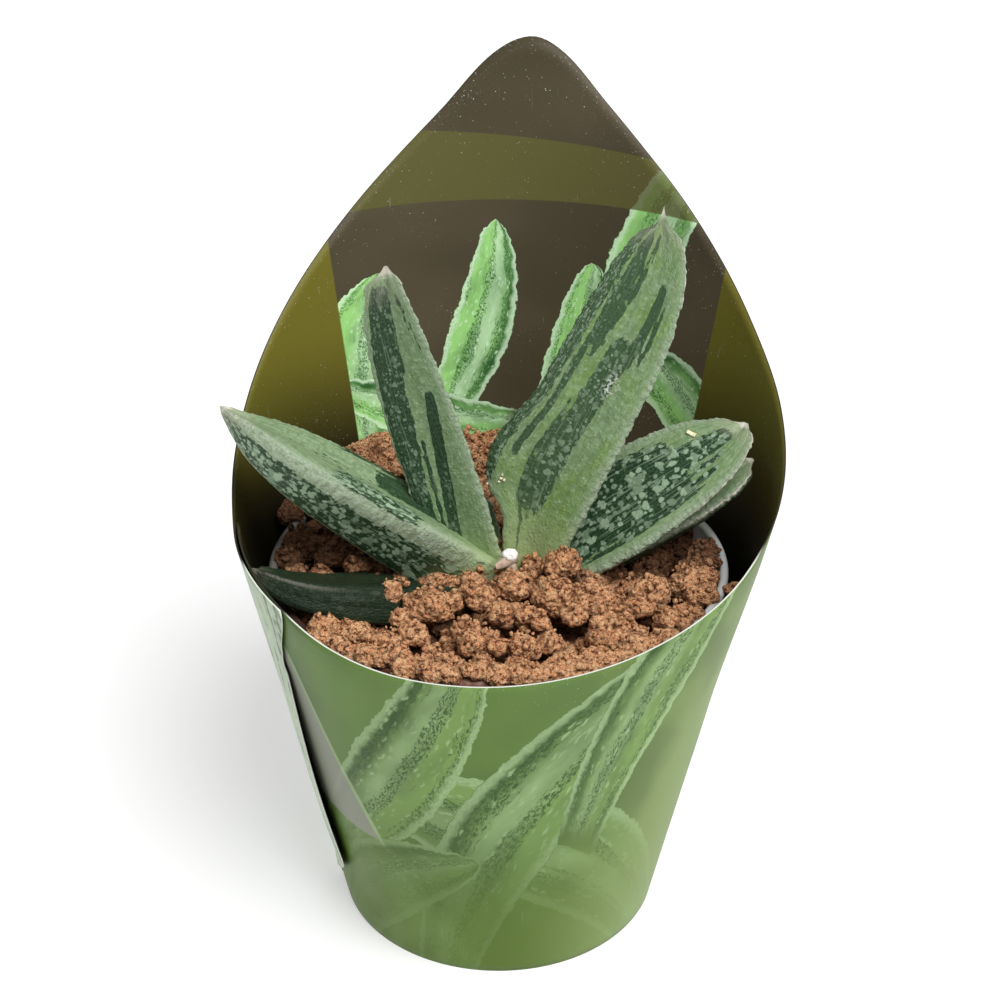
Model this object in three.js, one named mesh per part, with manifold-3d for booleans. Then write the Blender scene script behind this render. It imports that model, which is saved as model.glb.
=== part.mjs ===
// A young gasteria in a plastic nursery pot, standing in a cone-shaped card sleeve.
// Millimetres, +Z up. The origin is on the ground, under the middle of the pot.
// The sleeve's low front edge faces -Y and its tall rounded back stands at +Y.

import * as THREE from "three";
import { mergeVertices } from "three/addons/utils/BufferGeometryUtils.js";
import Module from "manifold-3d";

const wasm = await Module();
wasm.setup();

// ---------------------------------------------------------------- driving dimensions

const FIT_GAP = 0.3; // clear space between pieces that touch

// Nursery pot: a thin-walled tapered pot with a collar under its rim.
const POT_HEIGHT = 89.5;
const POT_RIM_RADIUS = 52.5;
const POT_FOOT_RADIUS = 37.5;
const POT_WALL = 0.9;
const POT_TAPER = 0.15; // growth of the radius for each millimetre up
const POT_RIM_WIDTH = 2.1;
const POT_COLLAR_HEIGHT = 7.5;
const POT_COLLAR_STEP = 1.2;
const POT_SEGMENTS = 56;
const DRAIN_HOLES = 6;
const DRAIN_HOLE_RADIUS = 3.5;
const DRAIN_HOLE_CIRCLE = 26;
const DRAIN_HOLE_SIDES = 12;

// Sleeve: one sheet of card rolled to a cone, its ends overlapping at the left of the front.
const CARD = 0.6;
const SLEEVE_FOOT_RADIUS = 38.5;
const SLEEVE_TAPER = 0.208;
const SLEEVE_START = -84; // degrees round from the front, anticlockwise seen from above
const SLEEVE_END = 302;
const SLEEVE_COLUMNS = 96;
const SLEEVE_ROWS = 5;
const LAP = CARD + 0.35; // how far the inner end lies inside the outer one
const LAP_RAMP = 22; // degrees over which the sheet takes up the lap
const LAP_LOW = 4; // below this the outer end rides out, as the pot's foot is in the way
const LAP_HIGH = 16; // above this the inner end lies in
const FLAP_STAND = 1.6; // how far the free edge stands off below the locking notch
const FLAP_ANGLE = 16;
const NOTCH_SHARE = 0.8; // height of the notch as a share of the height of the edge
const TAB_ANGLE = 7; // how far the tab above the notch reaches past the free edge
const CORNER_ANGLE = 28; // how far the cut lower corner of the free edge stands back
const CORNER_SHARE = 0.2;
const CORNER_SPREAD = 60; // degrees of sheet that take up the cut
const SIDE_SWELL = 1.2; // the right side stands this far outside the cone
const SIDE_SWELL_ANGLE = 72;
const SIDE_SWELL_SPREAD = 26;
const SIDE_SWELL_LOW = 60;
const SIDE_SWELL_HIGH = 100;

// The sleeve's top edge: [degrees round from the front, height].
const SLEEVE_EDGE = [
  [-84, 101.5],
  [-67, 99.6],
  [-48, 96],
  [-27, 92.3],
  [-8, 91.6],
  [12, 92.8],
  [32, 95.6],
  [54, 100.6],
  [68, 107],
  [80, 112.6],
  [98, 122.4],
  [120, 137],
  [147, 162.3],
  [159, 175.6],
  [168, 187],
  [174, 190.5],
  [181, 186.5],
  [191, 173.6],
  [203, 160.6],
  [223, 141],
  [247, 120],
  [263, 108.5],
  [276, 101.5],
  [293, 99.6],
  [310, 97],
];

// Substrate: crumbly lumps, heaped against the back of the rim and spilling over its front.
const SOIL_LEVEL = 88.6; // mean surface across the middle
const SOIL_CROWN_RISE = 3.4; // it rises round the stem
const SOIL_CROWN_SPREAD = 24;
const SOIL_BACK_RISE = 9.5;
const SOIL_BACK_FROM = 8;
const SOIL_BACK_TO = 40;
const SOIL_FRONT_RISE = 2.8;
const SOIL_FRONT_FROM = 32;
const SOIL_FRONT_TO = 46;
const SOIL_RIGHT_DROP = 4; // and falls towards the right-hand rim
const SOIL_RIGHT_FROM = 10;
const SOIL_OVERHANG = 1.4; // how far it spills past the rim
const SOIL_CELL = 2.4; // spacing of the surface's corners
const SOIL_JITTER = 0.6;
const SOIL_SEGMENTS = 40;
const CREVICE_DEPTH = 2.6; // lowest points between lumps, under the mean surface
const LUMPS = 150;
const LUMP_FIELD_RADIUS = 53;
const LUMP_RADIUS_LEAST = 3.2;
const LUMP_RADIUS_MOST = 7;
const LUMP_RISE = 0.35; // share of its radius by which a lump tops the mean surface
const LUMP_SCATTER = 1.6;
const GOLDEN_ANGLE = Math.PI * (3 - Math.sqrt(5));

// The lumps that stand out: [x, y, top, radius].
const TALL_LUMPS = [
  [-37, -33, 93.5, 3.4], [-31, -34, 92.7, 2.8], [-23, -21, 95.5, 3.3], [-15, -26, 96.1, 4.7],
  [-10, -26, 95.4, 3], [-5, -38, 94.5, 4.4], [0, -31, 95.8, 3], [6, -31, 95.1, 2.6],
  [3, -20, 97, 4.4], [14, -13, 98.4, 4.2], [12, -24, 97.4, 4.3], [5, -41, 94.1, 3.5],
  [20, -26, 97.3, 5.2], [24, -35, 95.9, 5.3], [33, -22, 96, 4.4], [30, -28, 95.4, 3],
  [42, -13, 94.1, 4.7], [47, 1, 93.1, 3.5], [41, -26, 93, 3.3], [-24, -39, 94, 4.4],
  [-18, -36, 93.8, 3], [-10, -50, 92.9, 3.1], [-3, -48, 92.8, 2.9], [-15, -48, 92.7, 2.7],
  [4, -50, 93.1, 3.5], [10, -50, 92.8, 2.9], [15, -48, 92.9, 3.1], [11, -40, 93.8, 2.9],
  [29, -40, 93.6, 3.6], [36, -30, 93.9, 3], [19, -45, 93.2, 2.7], [16, -31, 95.3, 3],
  [-4, -24, 95.6, 3.4], [44, -6, 93.2, 3.6], [46, -18, 92.8, 3.2], [-46, 7, 93.1, 4.7],
  [-37, 1, 93.5, 4.4], [-32, -6, 93.3, 2.9], [-50, 20, 93.6, 3.6], [-43, 23, 94, 4.4],
  [-35, 15, 93.9, 4.3], [-8, 43, 100, 7], [-27, 39, 100.5, 8], [10, 44, 98.5, 7],
];

// Stem: a short domed stump that carries the leaves, below the surface.
const STEM_AT = [4, -2];
const STEM_RADIUS = 8.5;
const STEM_FOOT = 64;
const STEM_SHOULDER = 74;
const STEM_TOP = 81;
const STEM_SEGMENTS = 20;
const STEM_DOME_STEPS = 4;

// Leaves. Each spine runs from root to tip as a cubic curve, and bow and sway push its two
// handles off the straight line. face points out of the upper face. width and depth are the
// full width and the depth from margins to keel, before the shares below. keel and skew move
// the keel and the whole blade sideways as shares of the half width. base is the share of the
// width at the root, filled the share of the length where the width is full, taper and blunt
// shape the end, and bladeEnd is where the blade stops and its small hard point begins.
const LEAF_SIDES = 16;
const LEAF_STEPS = 15;
const POINT_RADIUS = 0.6;
const POINT_END_RADIUS = 0.12;
const MARGIN_RISE = 0.16; // height of the rounded margins over their widest line
const SECTION_LIFT = 0.35;
const DEPTH_LOSS = 0.4; // share of the depth lost from root to tip
const DEPTH_BLUNT = 0.8; // how the depth closes at the end, against the width
const UNTWISTED_AT = 0.3; // share of the length where the blade faces as given
const STATION_SPREAD = 1.5; // the blade's stations lie closer together towards the tip

const LEAVES = {
  leaf_left_upright: {
    root: [0, -3, 83],
    tip: [-23.9, 5.3, 157.7],
    bow: [0.8, 0.7, 1.1],
    sway: [-0.6, 3.9, 0.6],
    face: [-0.2, -0.97, 0.1],
    twist: -12,
    width: 17,
    depth: 10,
    channel: 0.1,
    keel: -0.1,
    skew: 0.45,
    base: 0.76,
    filled: 0.53,
    taper: 3.8,
    blunt: 0.35,
    bladeEnd: 0.97,
  },
  leaf_right_tall: {
    root: [8, -4, 82.5],
    tip: [35.2, 8, 169.9],
    bow: [-11, 0.5, 2.8],
    sway: [8.5, -0.3, 0],
    face: [-0.38, -0.92, 0.05],
    twist: 18,
    width: 22.5,
    depth: 9,
    channel: 0.2,
    keel: 0.2,
    skew: 0.05,
    base: 0.4,
    filled: 0.33,
    taper: 5,
    blunt: 0.42,
    bladeEnd: 0.945,
  },
  leaf_right_low: {
    root: [9, -1, 81],
    tip: [55.9, 7.2, 119.7],
    bow: [-2.7, 0, 4],
    sway: [5.2, -7, 3.2],
    face: [-0.48, -0.56, 0.68],
    twist: -4,
    width: 27,
    depth: 9,
    channel: 0.1,
    keel: 0.3,
    skew: 0.13,
    base: 0.38,
    filled: 0.47,
    taper: 3.2,
    blunt: 0.42,
    bladeEnd: 0.97,
  },
  leaf_left_low: {
    root: [0, -5, 83],
    tip: [-60.5, -2.2, 128.2],
    bow: [-4.6, 0.3, 5],
    sway: [-4, -7.7, 2.6],
    face: [0.7, 0.07, 0.71],
    twist: 5.6,
    width: 22,
    depth: 15,
    channel: 0.1,
    keel: -0.42,
    skew: -0.13,
    base: 0.54,
    filled: 0.67,
    taper: 5.5,
    blunt: 0.87,
    bladeEnd: 0.98,
  },
  leaf_right_under: {
    root: [10, 3, 79],
    tip: [58.4, 9.4, 109.6],
    bow: [-0.2, 0.2, 2.8],
    sway: [4, -1.2, 0.5],
    face: [-0.41, -0.29, 0.87],
    twist: 1,
    width: 19.5,
    depth: 8,
    channel: 0.1,
    keel: 0.47,
    skew: 0.12,
    base: 0.6,
    filled: 0.5,
    taper: 6,
    blunt: 0.4,
    bladeEnd: 0.96,
  },
  leaf_left_ground: {
    root: [-4, -7, 80],
    tip: [-53.6, -19.4, 97.4],
    bow: [-3.2, -3.4, 4.6],
    sway: [-6, -4.4, -4],
    face: [0.12, 0.36, 0.92],
    twist: 4,
    width: 18.8,
    depth: 9,
    channel: 0.1,
    keel: -0.9,
    skew: 0.1,
    base: 0.75,
    filled: 0.5,
    taper: 4.7,
    blunt: 0.4,
    bladeEnd: 0.96,
  },
  leaf_inner: {
    root: [2, 2, 82],
    tip: [-2.5, 6.5, 100.6],
    bow: [-2.4, -0.1, 0],
    sway: [-1.3, 0.4, -0.2],
    face: [-0.58, -0.79, 0.18],
    twist: 0,
    width: 9.7,
    depth: 4,
    channel: 0.3,
    keel: 0.2,
    skew: 0.14,
    base: 0.65,
    filled: 0.52,
    taper: 3,
    blunt: 0.5,
    bladeEnd: 0.96,
  },
};

// Stub of a dried flower stalk, and the grain that lies on its end.
const STALK_FOOT = [3.4, -8.2, 79];
const STALK_TOP = [2.6, -11.4, 94.2];
const STALK_BEND = [0.8, -0.6, 0];
const STALK_RADIUS = 1.3;
const STALK_STEPS = 6;
const STALK_CORNERS = 5; // half the number of corners round it
const GRAIN_RADIUS = 1.75;
const GRAIN_SQUASH = [1.1, 0.95, 0.9];
const GRAIN_JITTER = 0.12;

// ---------------------------------------------------------------- solids and helpers

// A seeded stream of numbers between 0 and 1.
function randomStream(seed) {
  let state = seed;
  return () => {
    state = (Math.imul(state, 1664525) + 1013904223) >>> 0;
    return state / 4294967296;
  };
}

function smoothstep(from, to, value) {
  return THREE.MathUtils.smoothstep(value, from, to);
}

// A closed three.js geometry as a manifold solid.
function solidOf(geometry) {
  const bare = geometry.clone();
  bare.deleteAttribute("normal");
  bare.deleteAttribute("uv");
  const merged = mergeVertices(bare, 1e-3);
  return new wasm.Manifold(
    new wasm.Mesh({
      numProp: 3,
      vertProperties: new Float32Array(merged.attributes.position.array),
      triVerts: new Uint32Array(merged.index.array),
    }),
  );
}

// A manifold solid as a three.js geometry.
function geometryOf(solid) {
  const mesh = solid.getMesh();
  const stride = mesh.numProp;
  const position = new Float32Array(mesh.numVert * 3);
  for (let i = 0; i < mesh.numVert; i++) {
    position.set(mesh.vertProperties.subarray(i * stride, i * stride + 3), i * 3);
  }
  const geometry = new THREE.BufferGeometry();
  geometry.setAttribute("position", new THREE.BufferAttribute(position, 3));
  geometry.setIndex(new THREE.BufferAttribute(new Uint32Array(mesh.triVerts), 1));
  geometry.computeVertexNormals();
  return geometry;
}

// The largest of a solid's separate bodies.
function largestBody(solid) {
  const bodies = solid.decompose();
  bodies.sort((a, b) => b.volume() - a.volume());
  return bodies[0];
}

// Moves every vertex of a geometry through a function of its position.
function bend(geometry, move) {
  const position = geometry.attributes.position;
  const point = new THREE.Vector3();
  for (let i = 0; i < position.count; i++) {
    point.fromBufferAttribute(position, i);
    move(point);
    position.setXYZ(i, point.x, point.y, point.z);
  }
  return geometry;
}

// A solid of revolution about Z from [radius, height] points, given upwards on the outside.
function turned(profile, segments) {
  const points = profile.map(([radius, height]) => new THREE.Vector2(radius, height));
  const geometry = new THREE.LatheGeometry(points, segments);
  return geometry.rotateX(Math.PI / 2);
}

// ---------------------------------------------------------------- nursery pot

function potOuterRadius(height) {
  return POT_FOOT_RADIUS + POT_TAPER * height;
}

function potInnerRadius(height) {
  return potOuterRadius(height) - POT_WALL;
}

function makePot() {
  const collarFoot = POT_HEIGHT - POT_COLLAR_HEIGHT;
  const lipDepth = POT_RIM_WIDTH / 2;
  const rimInner = POT_RIM_RADIUS - POT_RIM_WIDTH;
  const profile = [
    [0, 0],
    [POT_FOOT_RADIUS, 0],
    [potOuterRadius(collarFoot), collarFoot],
    [potOuterRadius(collarFoot) + POT_COLLAR_STEP, collarFoot],
    [POT_RIM_RADIUS - lipDepth / 2, POT_HEIGHT - 2 * lipDepth],
    [POT_RIM_RADIUS, POT_HEIGHT - lipDepth],
    [POT_RIM_RADIUS - lipDepth / 2, POT_HEIGHT],
    [rimInner + lipDepth / 2, POT_HEIGHT],
    [rimInner, POT_HEIGHT - lipDepth],
    [potInnerRadius(collarFoot) + POT_COLLAR_STEP / 2, collarFoot + POT_WALL],
    [potInnerRadius(collarFoot), collarFoot - POT_WALL],
    [potInnerRadius(POT_WALL), POT_WALL],
    [0, POT_WALL],
  ];
  let pot = solidOf(turned(profile, POT_SEGMENTS));
  for (let i = 0; i < DRAIN_HOLES; i++) {
    const angle = ((i + 0.5) / DRAIN_HOLES) * 2 * Math.PI;
    const bore = new THREE.CylinderGeometry(
      DRAIN_HOLE_RADIUS,
      DRAIN_HOLE_RADIUS,
      POT_WALL * 4,
      DRAIN_HOLE_SIDES,
    );
    bore.rotateX(Math.PI / 2);
    bore.translate(
      DRAIN_HOLE_CIRCLE * Math.cos(angle),
      DRAIN_HOLE_CIRCLE * Math.sin(angle),
      0,
    );
    pot = pot.subtract(solidOf(bore));
  }
  return pot;
}

// ---------------------------------------------------------------- sleeve

// Height of the sleeve's edge at an angle, on a smooth curve through its points.
function sleeveEdgeHeight(degrees) {
  const last = SLEEVE_EDGE.length - 1;
  let i = 0;
  while (i < last - 1 && SLEEVE_EDGE[i + 1][0] < degrees) {
    i++;
  }
  const slopeAt = (k) => {
    const [a, b] = [SLEEVE_EDGE[Math.max(k - 1, 0)], SLEEVE_EDGE[Math.min(k + 1, last)]];
    return (b[1] - a[1]) / (b[0] - a[0]);
  };
  const [fromAngle, fromHeight] = SLEEVE_EDGE[i];
  const [toAngle, toHeight] = SLEEVE_EDGE[i + 1];
  const span = toAngle - fromAngle;
  const t = THREE.MathUtils.clamp((degrees - fromAngle) / span, 0, 1);
  const rise = (toHeight - fromHeight) * t * t * (3 - 2 * t);
  const lean = span * t * (1 - t) * (slopeAt(i) * (1 - t) - slopeAt(i + 1) * t);
  return fromHeight + rise + lean;
}

// How far the sheet's outer face stands outside the plain cone.
function sleeveOffset(degrees, height, share) {
  const lapStart = SLEEVE_START + 360;
  const lapEnd = SLEEVE_END - 360;
  const free = smoothstep(LAP_LOW, LAP_HIGH, height);
  const over = smoothstep(lapStart - LAP_RAMP, lapStart, degrees) * (1 - free);
  const under = (1 - smoothstep(lapEnd, lapEnd + LAP_RAMP, degrees)) * free;
  const lap = LAP * (over - under);
  const belowNotch = Math.sin(Math.PI * THREE.MathUtils.clamp(share / NOTCH_SHARE, 0, 1));
  const flap = FLAP_STAND * belowNotch * smoothstep(SLEEVE_END - FLAP_ANGLE, SLEEVE_END, degrees);
  const aside = (degrees - SIDE_SWELL_ANGLE) / SIDE_SWELL_SPREAD;
  const swell =
    SIDE_SWELL * Math.exp(-aside * aside) * smoothstep(SIDE_SWELL_LOW, SIDE_SWELL_HIGH, height);
  return lap + flap + swell;
}

function makeSleeve() {
  const sheet = new THREE.BoxGeometry(1, 1, 1, SLEEVE_COLUMNS, SLEEVE_ROWS, 1);
  bend(sheet, (point) => {
    const share = point.y + 0.5;
    const plain = THREE.MathUtils.lerp(SLEEVE_START, SLEEVE_END, point.x + 0.5);
    const tab = TAB_ANGLE * smoothstep(NOTCH_SHARE, 1, share);
    const cut = CORNER_ANGLE * (1 - smoothstep(0, CORNER_SHARE, share));
    const toEnd = THREE.MathUtils.clamp((plain - SLEEVE_END) / CORNER_SPREAD + 1, 0, 1);
    const tabbed = plain + tab * smoothstep(SLEEVE_END - 2 * TAB_ANGLE, SLEEVE_END, plain);
    const degrees = tabbed - cut * toEnd;
    const height = share * sleeveEdgeHeight(degrees);
    const depth = point.z < 0 ? CARD : 0;
    const outer = SLEEVE_FOOT_RADIUS + SLEEVE_TAPER * height;
    const radius = outer + sleeveOffset(degrees, height, share) - depth;
    const angle = THREE.MathUtils.degToRad(degrees);
    point.set(radius * Math.sin(angle), -radius * Math.cos(angle), height);
  });
  return solidOf(sheet);
}

// ---------------------------------------------------------------- leaves

// The blade's section in shares of half width and depth: a shallow channel between two
// rounded margins above, and flanks that meet in a keel below.
function leafSection({ keel, channel }) {
  const flank = 0.5;
  const bulge = 0.12;
  const points = [
    [-1, 0],
    [-0.78, MARGIN_RISE],
    [0, MARGIN_RISE - channel],
    [0.78, MARGIN_RISE],
    [1, 0],
    [1 + (keel - 1) * flank + bulge, -flank],
    [keel, -1],
    [-1 + (keel + 1) * flank - bulge, -flank],
  ];
  const corners = points.map(([x, y]) => new THREE.Vector3(x, y, 0));
  return new THREE.CatmullRomCurve3(corners, true, "catmullrom", 0.5);
}

function leafSpine({ root, tip, bow, sway }) {
  const from = new THREE.Vector3(...root);
  const to = new THREE.Vector3(...tip);
  const lowHandle = from.clone().lerp(to, 1 / 3).add(new THREE.Vector3(...bow));
  const highHandle = from.clone().lerp(to, 2 / 3).add(new THREE.Vector3(...sway));
  return new THREE.CubicBezierCurve3(from, lowHandle, highHandle, to);
}

// Half width and depth of the blade at a share of its length.
function leafSize(leaf, along) {
  const end = Math.min(along / leaf.bladeEnd, 1);
  const fall = Math.max(1 - end ** leaf.taper, 0) ** leaf.blunt;
  const fill = Math.sin((Math.PI / 2) * Math.min(along / leaf.filled, 1));
  const rise = leaf.base + (1 - leaf.base) * fill;
  const pastBlade = THREE.MathUtils.clamp((1 - along) / (1 - leaf.bladeEnd), 0, 1);
  const point = THREE.MathUtils.lerp(POINT_END_RADIUS, POINT_RADIUS, pastBlade);
  const depth = leaf.depth * (1 - DEPTH_LOSS * along) * fall ** DEPTH_BLUNT;
  return {
    halfWidth: Math.hypot((leaf.width / 2) * fall * rise, point),
    depth: Math.hypot(depth, point),
  };
}

// A leaf as one closed solid, grown outwards by an allowance.
function makeLeaf(leaf, allowance) {
  const section = leafSection(leaf);
  const spine = leafSpine(leaf);
  const blade = new THREE.CylinderGeometry(1, 1, 1, LEAF_SIDES, LEAF_STEPS);
  const turn = 2 * Math.PI;
  bend(blade, (point) => {
    const along = 1 - (0.5 - point.y) ** STATION_SPREAD;
    const round = (Math.atan2(point.x, point.z) + turn) % turn;
    const onAxis = Math.hypot(point.x, point.z) < 0.5;
    const { halfWidth, depth } = leafSize(leaf, along);
    const tangent = spine.getTangent(along);
    const twist = THREE.MathUtils.degToRad(leaf.twist * (along - UNTWISTED_AT));
    const face = new THREE.Vector3(...leaf.face).projectOnPlane(tangent).normalize();
    face.applyAxisAngle(tangent, -twist);
    const side = tangent.clone().cross(face);
    const corner = section.getPoint(round / turn);
    const across = new THREE.Vector2(corner.x * halfWidth, (corner.y + SECTION_LIFT) * depth);
    across.setLength(onAxis ? 0 : across.length() + allowance);
    point.copy(spine.getPoint(along));
    point.addScaledVector(side, across.x - leaf.skew * halfWidth);
    point.addScaledVector(face, across.y);
  });
  return solidOf(blade);
}

// ---------------------------------------------------------------- stem, stalk and grain

function makeStem(allowance) {
  const radius = STEM_RADIUS + allowance;
  const rise = STEM_TOP - STEM_SHOULDER + allowance;
  const profile = [[0, STEM_FOOT - allowance], [radius, STEM_FOOT - allowance]];
  for (let i = 0; i < STEM_DOME_STEPS; i++) {
    const angle = (i / STEM_DOME_STEPS) * (Math.PI / 2);
    profile.push([radius * Math.cos(angle), STEM_SHOULDER + rise * Math.sin(angle)]);
  }
  profile.push([0, STEM_TOP + allowance]);
  const stem = turned(profile, STEM_SEGMENTS);
  return solidOf(stem.translate(...STEM_AT, 0));
}

function makeStalk(allowance) {
  const from = new THREE.Vector3(...STALK_FOOT);
  const to = new THREE.Vector3(...STALK_TOP);
  const middle = from.clone().lerp(to, 0.5).add(new THREE.Vector3(...STALK_BEND));
  const outline = new THREE.Shape();
  outline.absarc(0, 0, STALK_RADIUS + allowance, 0, 2 * Math.PI);
  const stalk = new THREE.ExtrudeGeometry(outline, {
    steps: STALK_STEPS,
    curveSegments: STALK_CORNERS,
    extrudePath: new THREE.CatmullRomCurve3([from, middle, to]),
  });
  return solidOf(stalk);
}

// A rough ball of unit radius whose corners stand in and out a little.
function roughBall(jitter, random) {
  const ball = mergeVertices(stripped(new THREE.IcosahedronGeometry(1, 1)), 1e-4);
  return bend(ball, (point) => {
    point.multiplyScalar(1 + jitter * (2 * random() - 1));
  });
}

function stripped(geometry) {
  geometry.deleteAttribute("normal");
  geometry.deleteAttribute("uv");
  return geometry;
}

function makeGrain() {
  const grain = roughBall(GRAIN_JITTER, randomStream(5));
  grain.scale(...GRAIN_SQUASH.map((share) => share * GRAIN_RADIUS));
  const [x, y, z] = STALK_TOP;
  return solidOf(grain.translate(x, y, z + GRAIN_RADIUS + FIT_GAP));
}

// ---------------------------------------------------------------- substrate

// The mean surface.
function soilHeight(x, y) {
  const out = Math.hypot(x - STEM_AT[0], y - STEM_AT[1]) / SOIL_CROWN_SPREAD;
  const crown = SOIL_CROWN_RISE * Math.exp(-out * out);
  const back = SOIL_BACK_RISE * smoothstep(SOIL_BACK_FROM, SOIL_BACK_TO, y);
  const front = SOIL_FRONT_RISE * smoothstep(SOIL_FRONT_FROM, SOIL_FRONT_TO, -y);
  const right = SOIL_RIGHT_DROP * smoothstep(SOIL_RIGHT_FROM, POT_RIM_RADIUS, x);
  return SOIL_LEVEL + crown + back + front - right;
}

// Lumps of many sizes, spread evenly over the pot, and the tall ones.
function makeLumps(random) {
  const lumps = TALL_LUMPS.map(([x, y, top, radius]) => ({ x, y, top, radius }));
  for (let i = 0; i < LUMPS; i++) {
    const angle = i * GOLDEN_ANGLE;
    const fromAxis = LUMP_FIELD_RADIUS * Math.sqrt((i + 0.5) / LUMPS);
    const x = fromAxis * Math.cos(angle) + LUMP_SCATTER * (random() - 0.5);
    const y = fromAxis * Math.sin(angle) + LUMP_SCATTER * (random() - 0.5);
    const large = random() ** 2;
    const radius = THREE.MathUtils.lerp(LUMP_RADIUS_LEAST, LUMP_RADIUS_MOST, large);
    const rise = LUMP_RISE * radius + LUMP_SCATTER * (random() - 0.5);
    if (TALL_LUMPS.some((tall) => Math.hypot(x - tall[0], y - tall[1]) < tall[3] + 0.5 * radius)) {
      continue;
    }
    lumps.push({ x, y, top: soilHeight(x, y) + rise, radius });
  }
  return lumps;
}

// Height of a round lump's surface at a point, or of the crevice beside it.
function lumpSurface({ x, y, top, radius }, point) {
  const out = Math.hypot(point.x - x, point.y - y) / radius;
  if (out >= 1) {
    return 0;
  }
  return top - radius * (1 - Math.sqrt(1 - out * out));
}

// The space for the substrate: inside the pot's wall, and over the rim above it.
function makeFillSpace() {
  const foot = POT_WALL + FIT_GAP;
  const collarFoot = POT_HEIGHT - POT_COLLAR_HEIGHT;
  const mouth = POT_RIM_RADIUS - POT_RIM_WIDTH - FIT_GAP;
  const overRim = POT_HEIGHT + FIT_GAP;
  const ceiling = 2 * POT_HEIGHT;
  const profile = [
    [0, foot],
    [potInnerRadius(foot) - FIT_GAP, foot],
    [potInnerRadius(collarFoot) - FIT_GAP, collarFoot],
    [mouth, POT_HEIGHT - POT_RIM_WIDTH / 2],
    [mouth, overRim],
    [POT_RIM_RADIUS + SOIL_OVERHANG, overRim],
    [POT_RIM_RADIUS + SOIL_OVERHANG, ceiling],
    [0, ceiling],
  ];
  return solidOf(turned(profile, SOIL_SEGMENTS));
}

function makeSubstrate(stem, growth) {
  const random = randomStream(20);
  const lumps = makeLumps(random);
  const cells = Math.ceil((2 * (POT_RIM_RADIUS + SOIL_OVERHANG)) / SOIL_CELL) + 1;
  const span = cells * SOIL_CELL;
  const block = mergeVertices(stripped(new THREE.BoxGeometry(span, span, 2, cells, cells)));
  bend(block, (point) => {
    if (point.z < 0) {
      return;
    }
    point.x += SOIL_JITTER * (2 * random() - 1);
    point.y += SOIL_JITTER * (2 * random() - 1);
    const crevice = soilHeight(point.x, point.y) - CREVICE_DEPTH;
    point.z = Math.max(crevice, ...lumps.map((lump) => lumpSurface(lump, point)));
  });
  let soil = solidOf(block).intersect(makeFillSpace()).subtract(stem);
  for (const grown of growth) {
    soil = soil.subtract(grown);
  }
  return largestBody(soil);
}

// ---------------------------------------------------------------- assembly

const COLOURS = {
  sleeve: { color: 0x7f9a62, roughness: 0.45 },
  nursery_pot: { color: 0xd9dcdb, roughness: 0.4 },
  substrate: { color: 0xa86a48, roughness: 1 },
  stem: { color: 0x8f9a63, roughness: 0.8 },
  leaf: { color: 0x4d7a55, roughness: 0.45 },
  leaf_inner: { color: 0x6f9a5a, roughness: 0.45 },
  dry_stalk: { color: 0xcdb3a4, roughness: 0.9 },
  perlite_grain: { color: 0xf4f3ee, roughness: 0.9 },
};

const group = new THREE.Group();

function place(name, solid, look = name) {
  const material = new THREE.MeshStandardMaterial({ metalness: 0, ...COLOURS[look] });
  const mesh = new THREE.Mesh(geometryOf(solid), material);
  mesh.name = name;
  group.add(mesh);
}

place("nursery_pot", makePot());
place("sleeve", makeSleeve());
place("stem", makeStem(0));

// Each leaf gives way to the ones listed before it, so that the outer leaves clasp the inner.
const stemSpace = makeStem(FIT_GAP);
const growth = [];
for (const [name, leaf] of Object.entries(LEAVES)) {
  let blade = makeLeaf(leaf, 0).subtract(stemSpace);
  for (const earlier of growth) {
    blade = blade.subtract(earlier);
  }
  place(name, largestBody(blade), name in COLOURS ? name : "leaf");
  growth.push(makeLeaf(leaf, FIT_GAP));
}

let stalk = makeStalk(0).subtract(stemSpace);
for (const earlier of growth) {
  stalk = stalk.subtract(earlier);
}
place("dry_stalk", largestBody(stalk));
growth.push(makeStalk(FIT_GAP));
place("perlite_grain", makeGrain());
place("substrate", makeSubstrate(stemSpace, growth));

export default group;
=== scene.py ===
"""A young gasteria in a nursery pot, standing in a cone-shaped printed card sleeve."""

import math
import random

import bmesh
import bpy
import numpy as np
from mathutils import Matrix, Vector, noise


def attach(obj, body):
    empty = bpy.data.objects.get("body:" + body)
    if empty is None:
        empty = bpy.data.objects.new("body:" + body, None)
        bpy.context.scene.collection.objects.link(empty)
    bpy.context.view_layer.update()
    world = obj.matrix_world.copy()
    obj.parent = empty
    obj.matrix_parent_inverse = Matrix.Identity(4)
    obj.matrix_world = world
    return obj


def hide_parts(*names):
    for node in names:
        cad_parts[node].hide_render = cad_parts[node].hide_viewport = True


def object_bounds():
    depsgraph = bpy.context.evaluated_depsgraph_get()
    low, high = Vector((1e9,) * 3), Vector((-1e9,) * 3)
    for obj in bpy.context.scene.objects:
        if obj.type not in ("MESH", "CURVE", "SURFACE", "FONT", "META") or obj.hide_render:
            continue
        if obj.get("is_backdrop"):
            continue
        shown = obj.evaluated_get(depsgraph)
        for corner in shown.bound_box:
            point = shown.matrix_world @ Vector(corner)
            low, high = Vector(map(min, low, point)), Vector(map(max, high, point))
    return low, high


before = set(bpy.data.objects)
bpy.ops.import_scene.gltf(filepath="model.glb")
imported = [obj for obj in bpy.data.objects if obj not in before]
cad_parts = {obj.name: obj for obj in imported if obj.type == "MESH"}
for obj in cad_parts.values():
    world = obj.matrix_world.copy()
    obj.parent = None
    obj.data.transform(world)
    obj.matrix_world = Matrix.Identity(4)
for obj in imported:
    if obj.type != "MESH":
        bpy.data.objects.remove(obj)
CAD_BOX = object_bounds()
MM = 0.001

# ---- sizes, in millimetres

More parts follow.
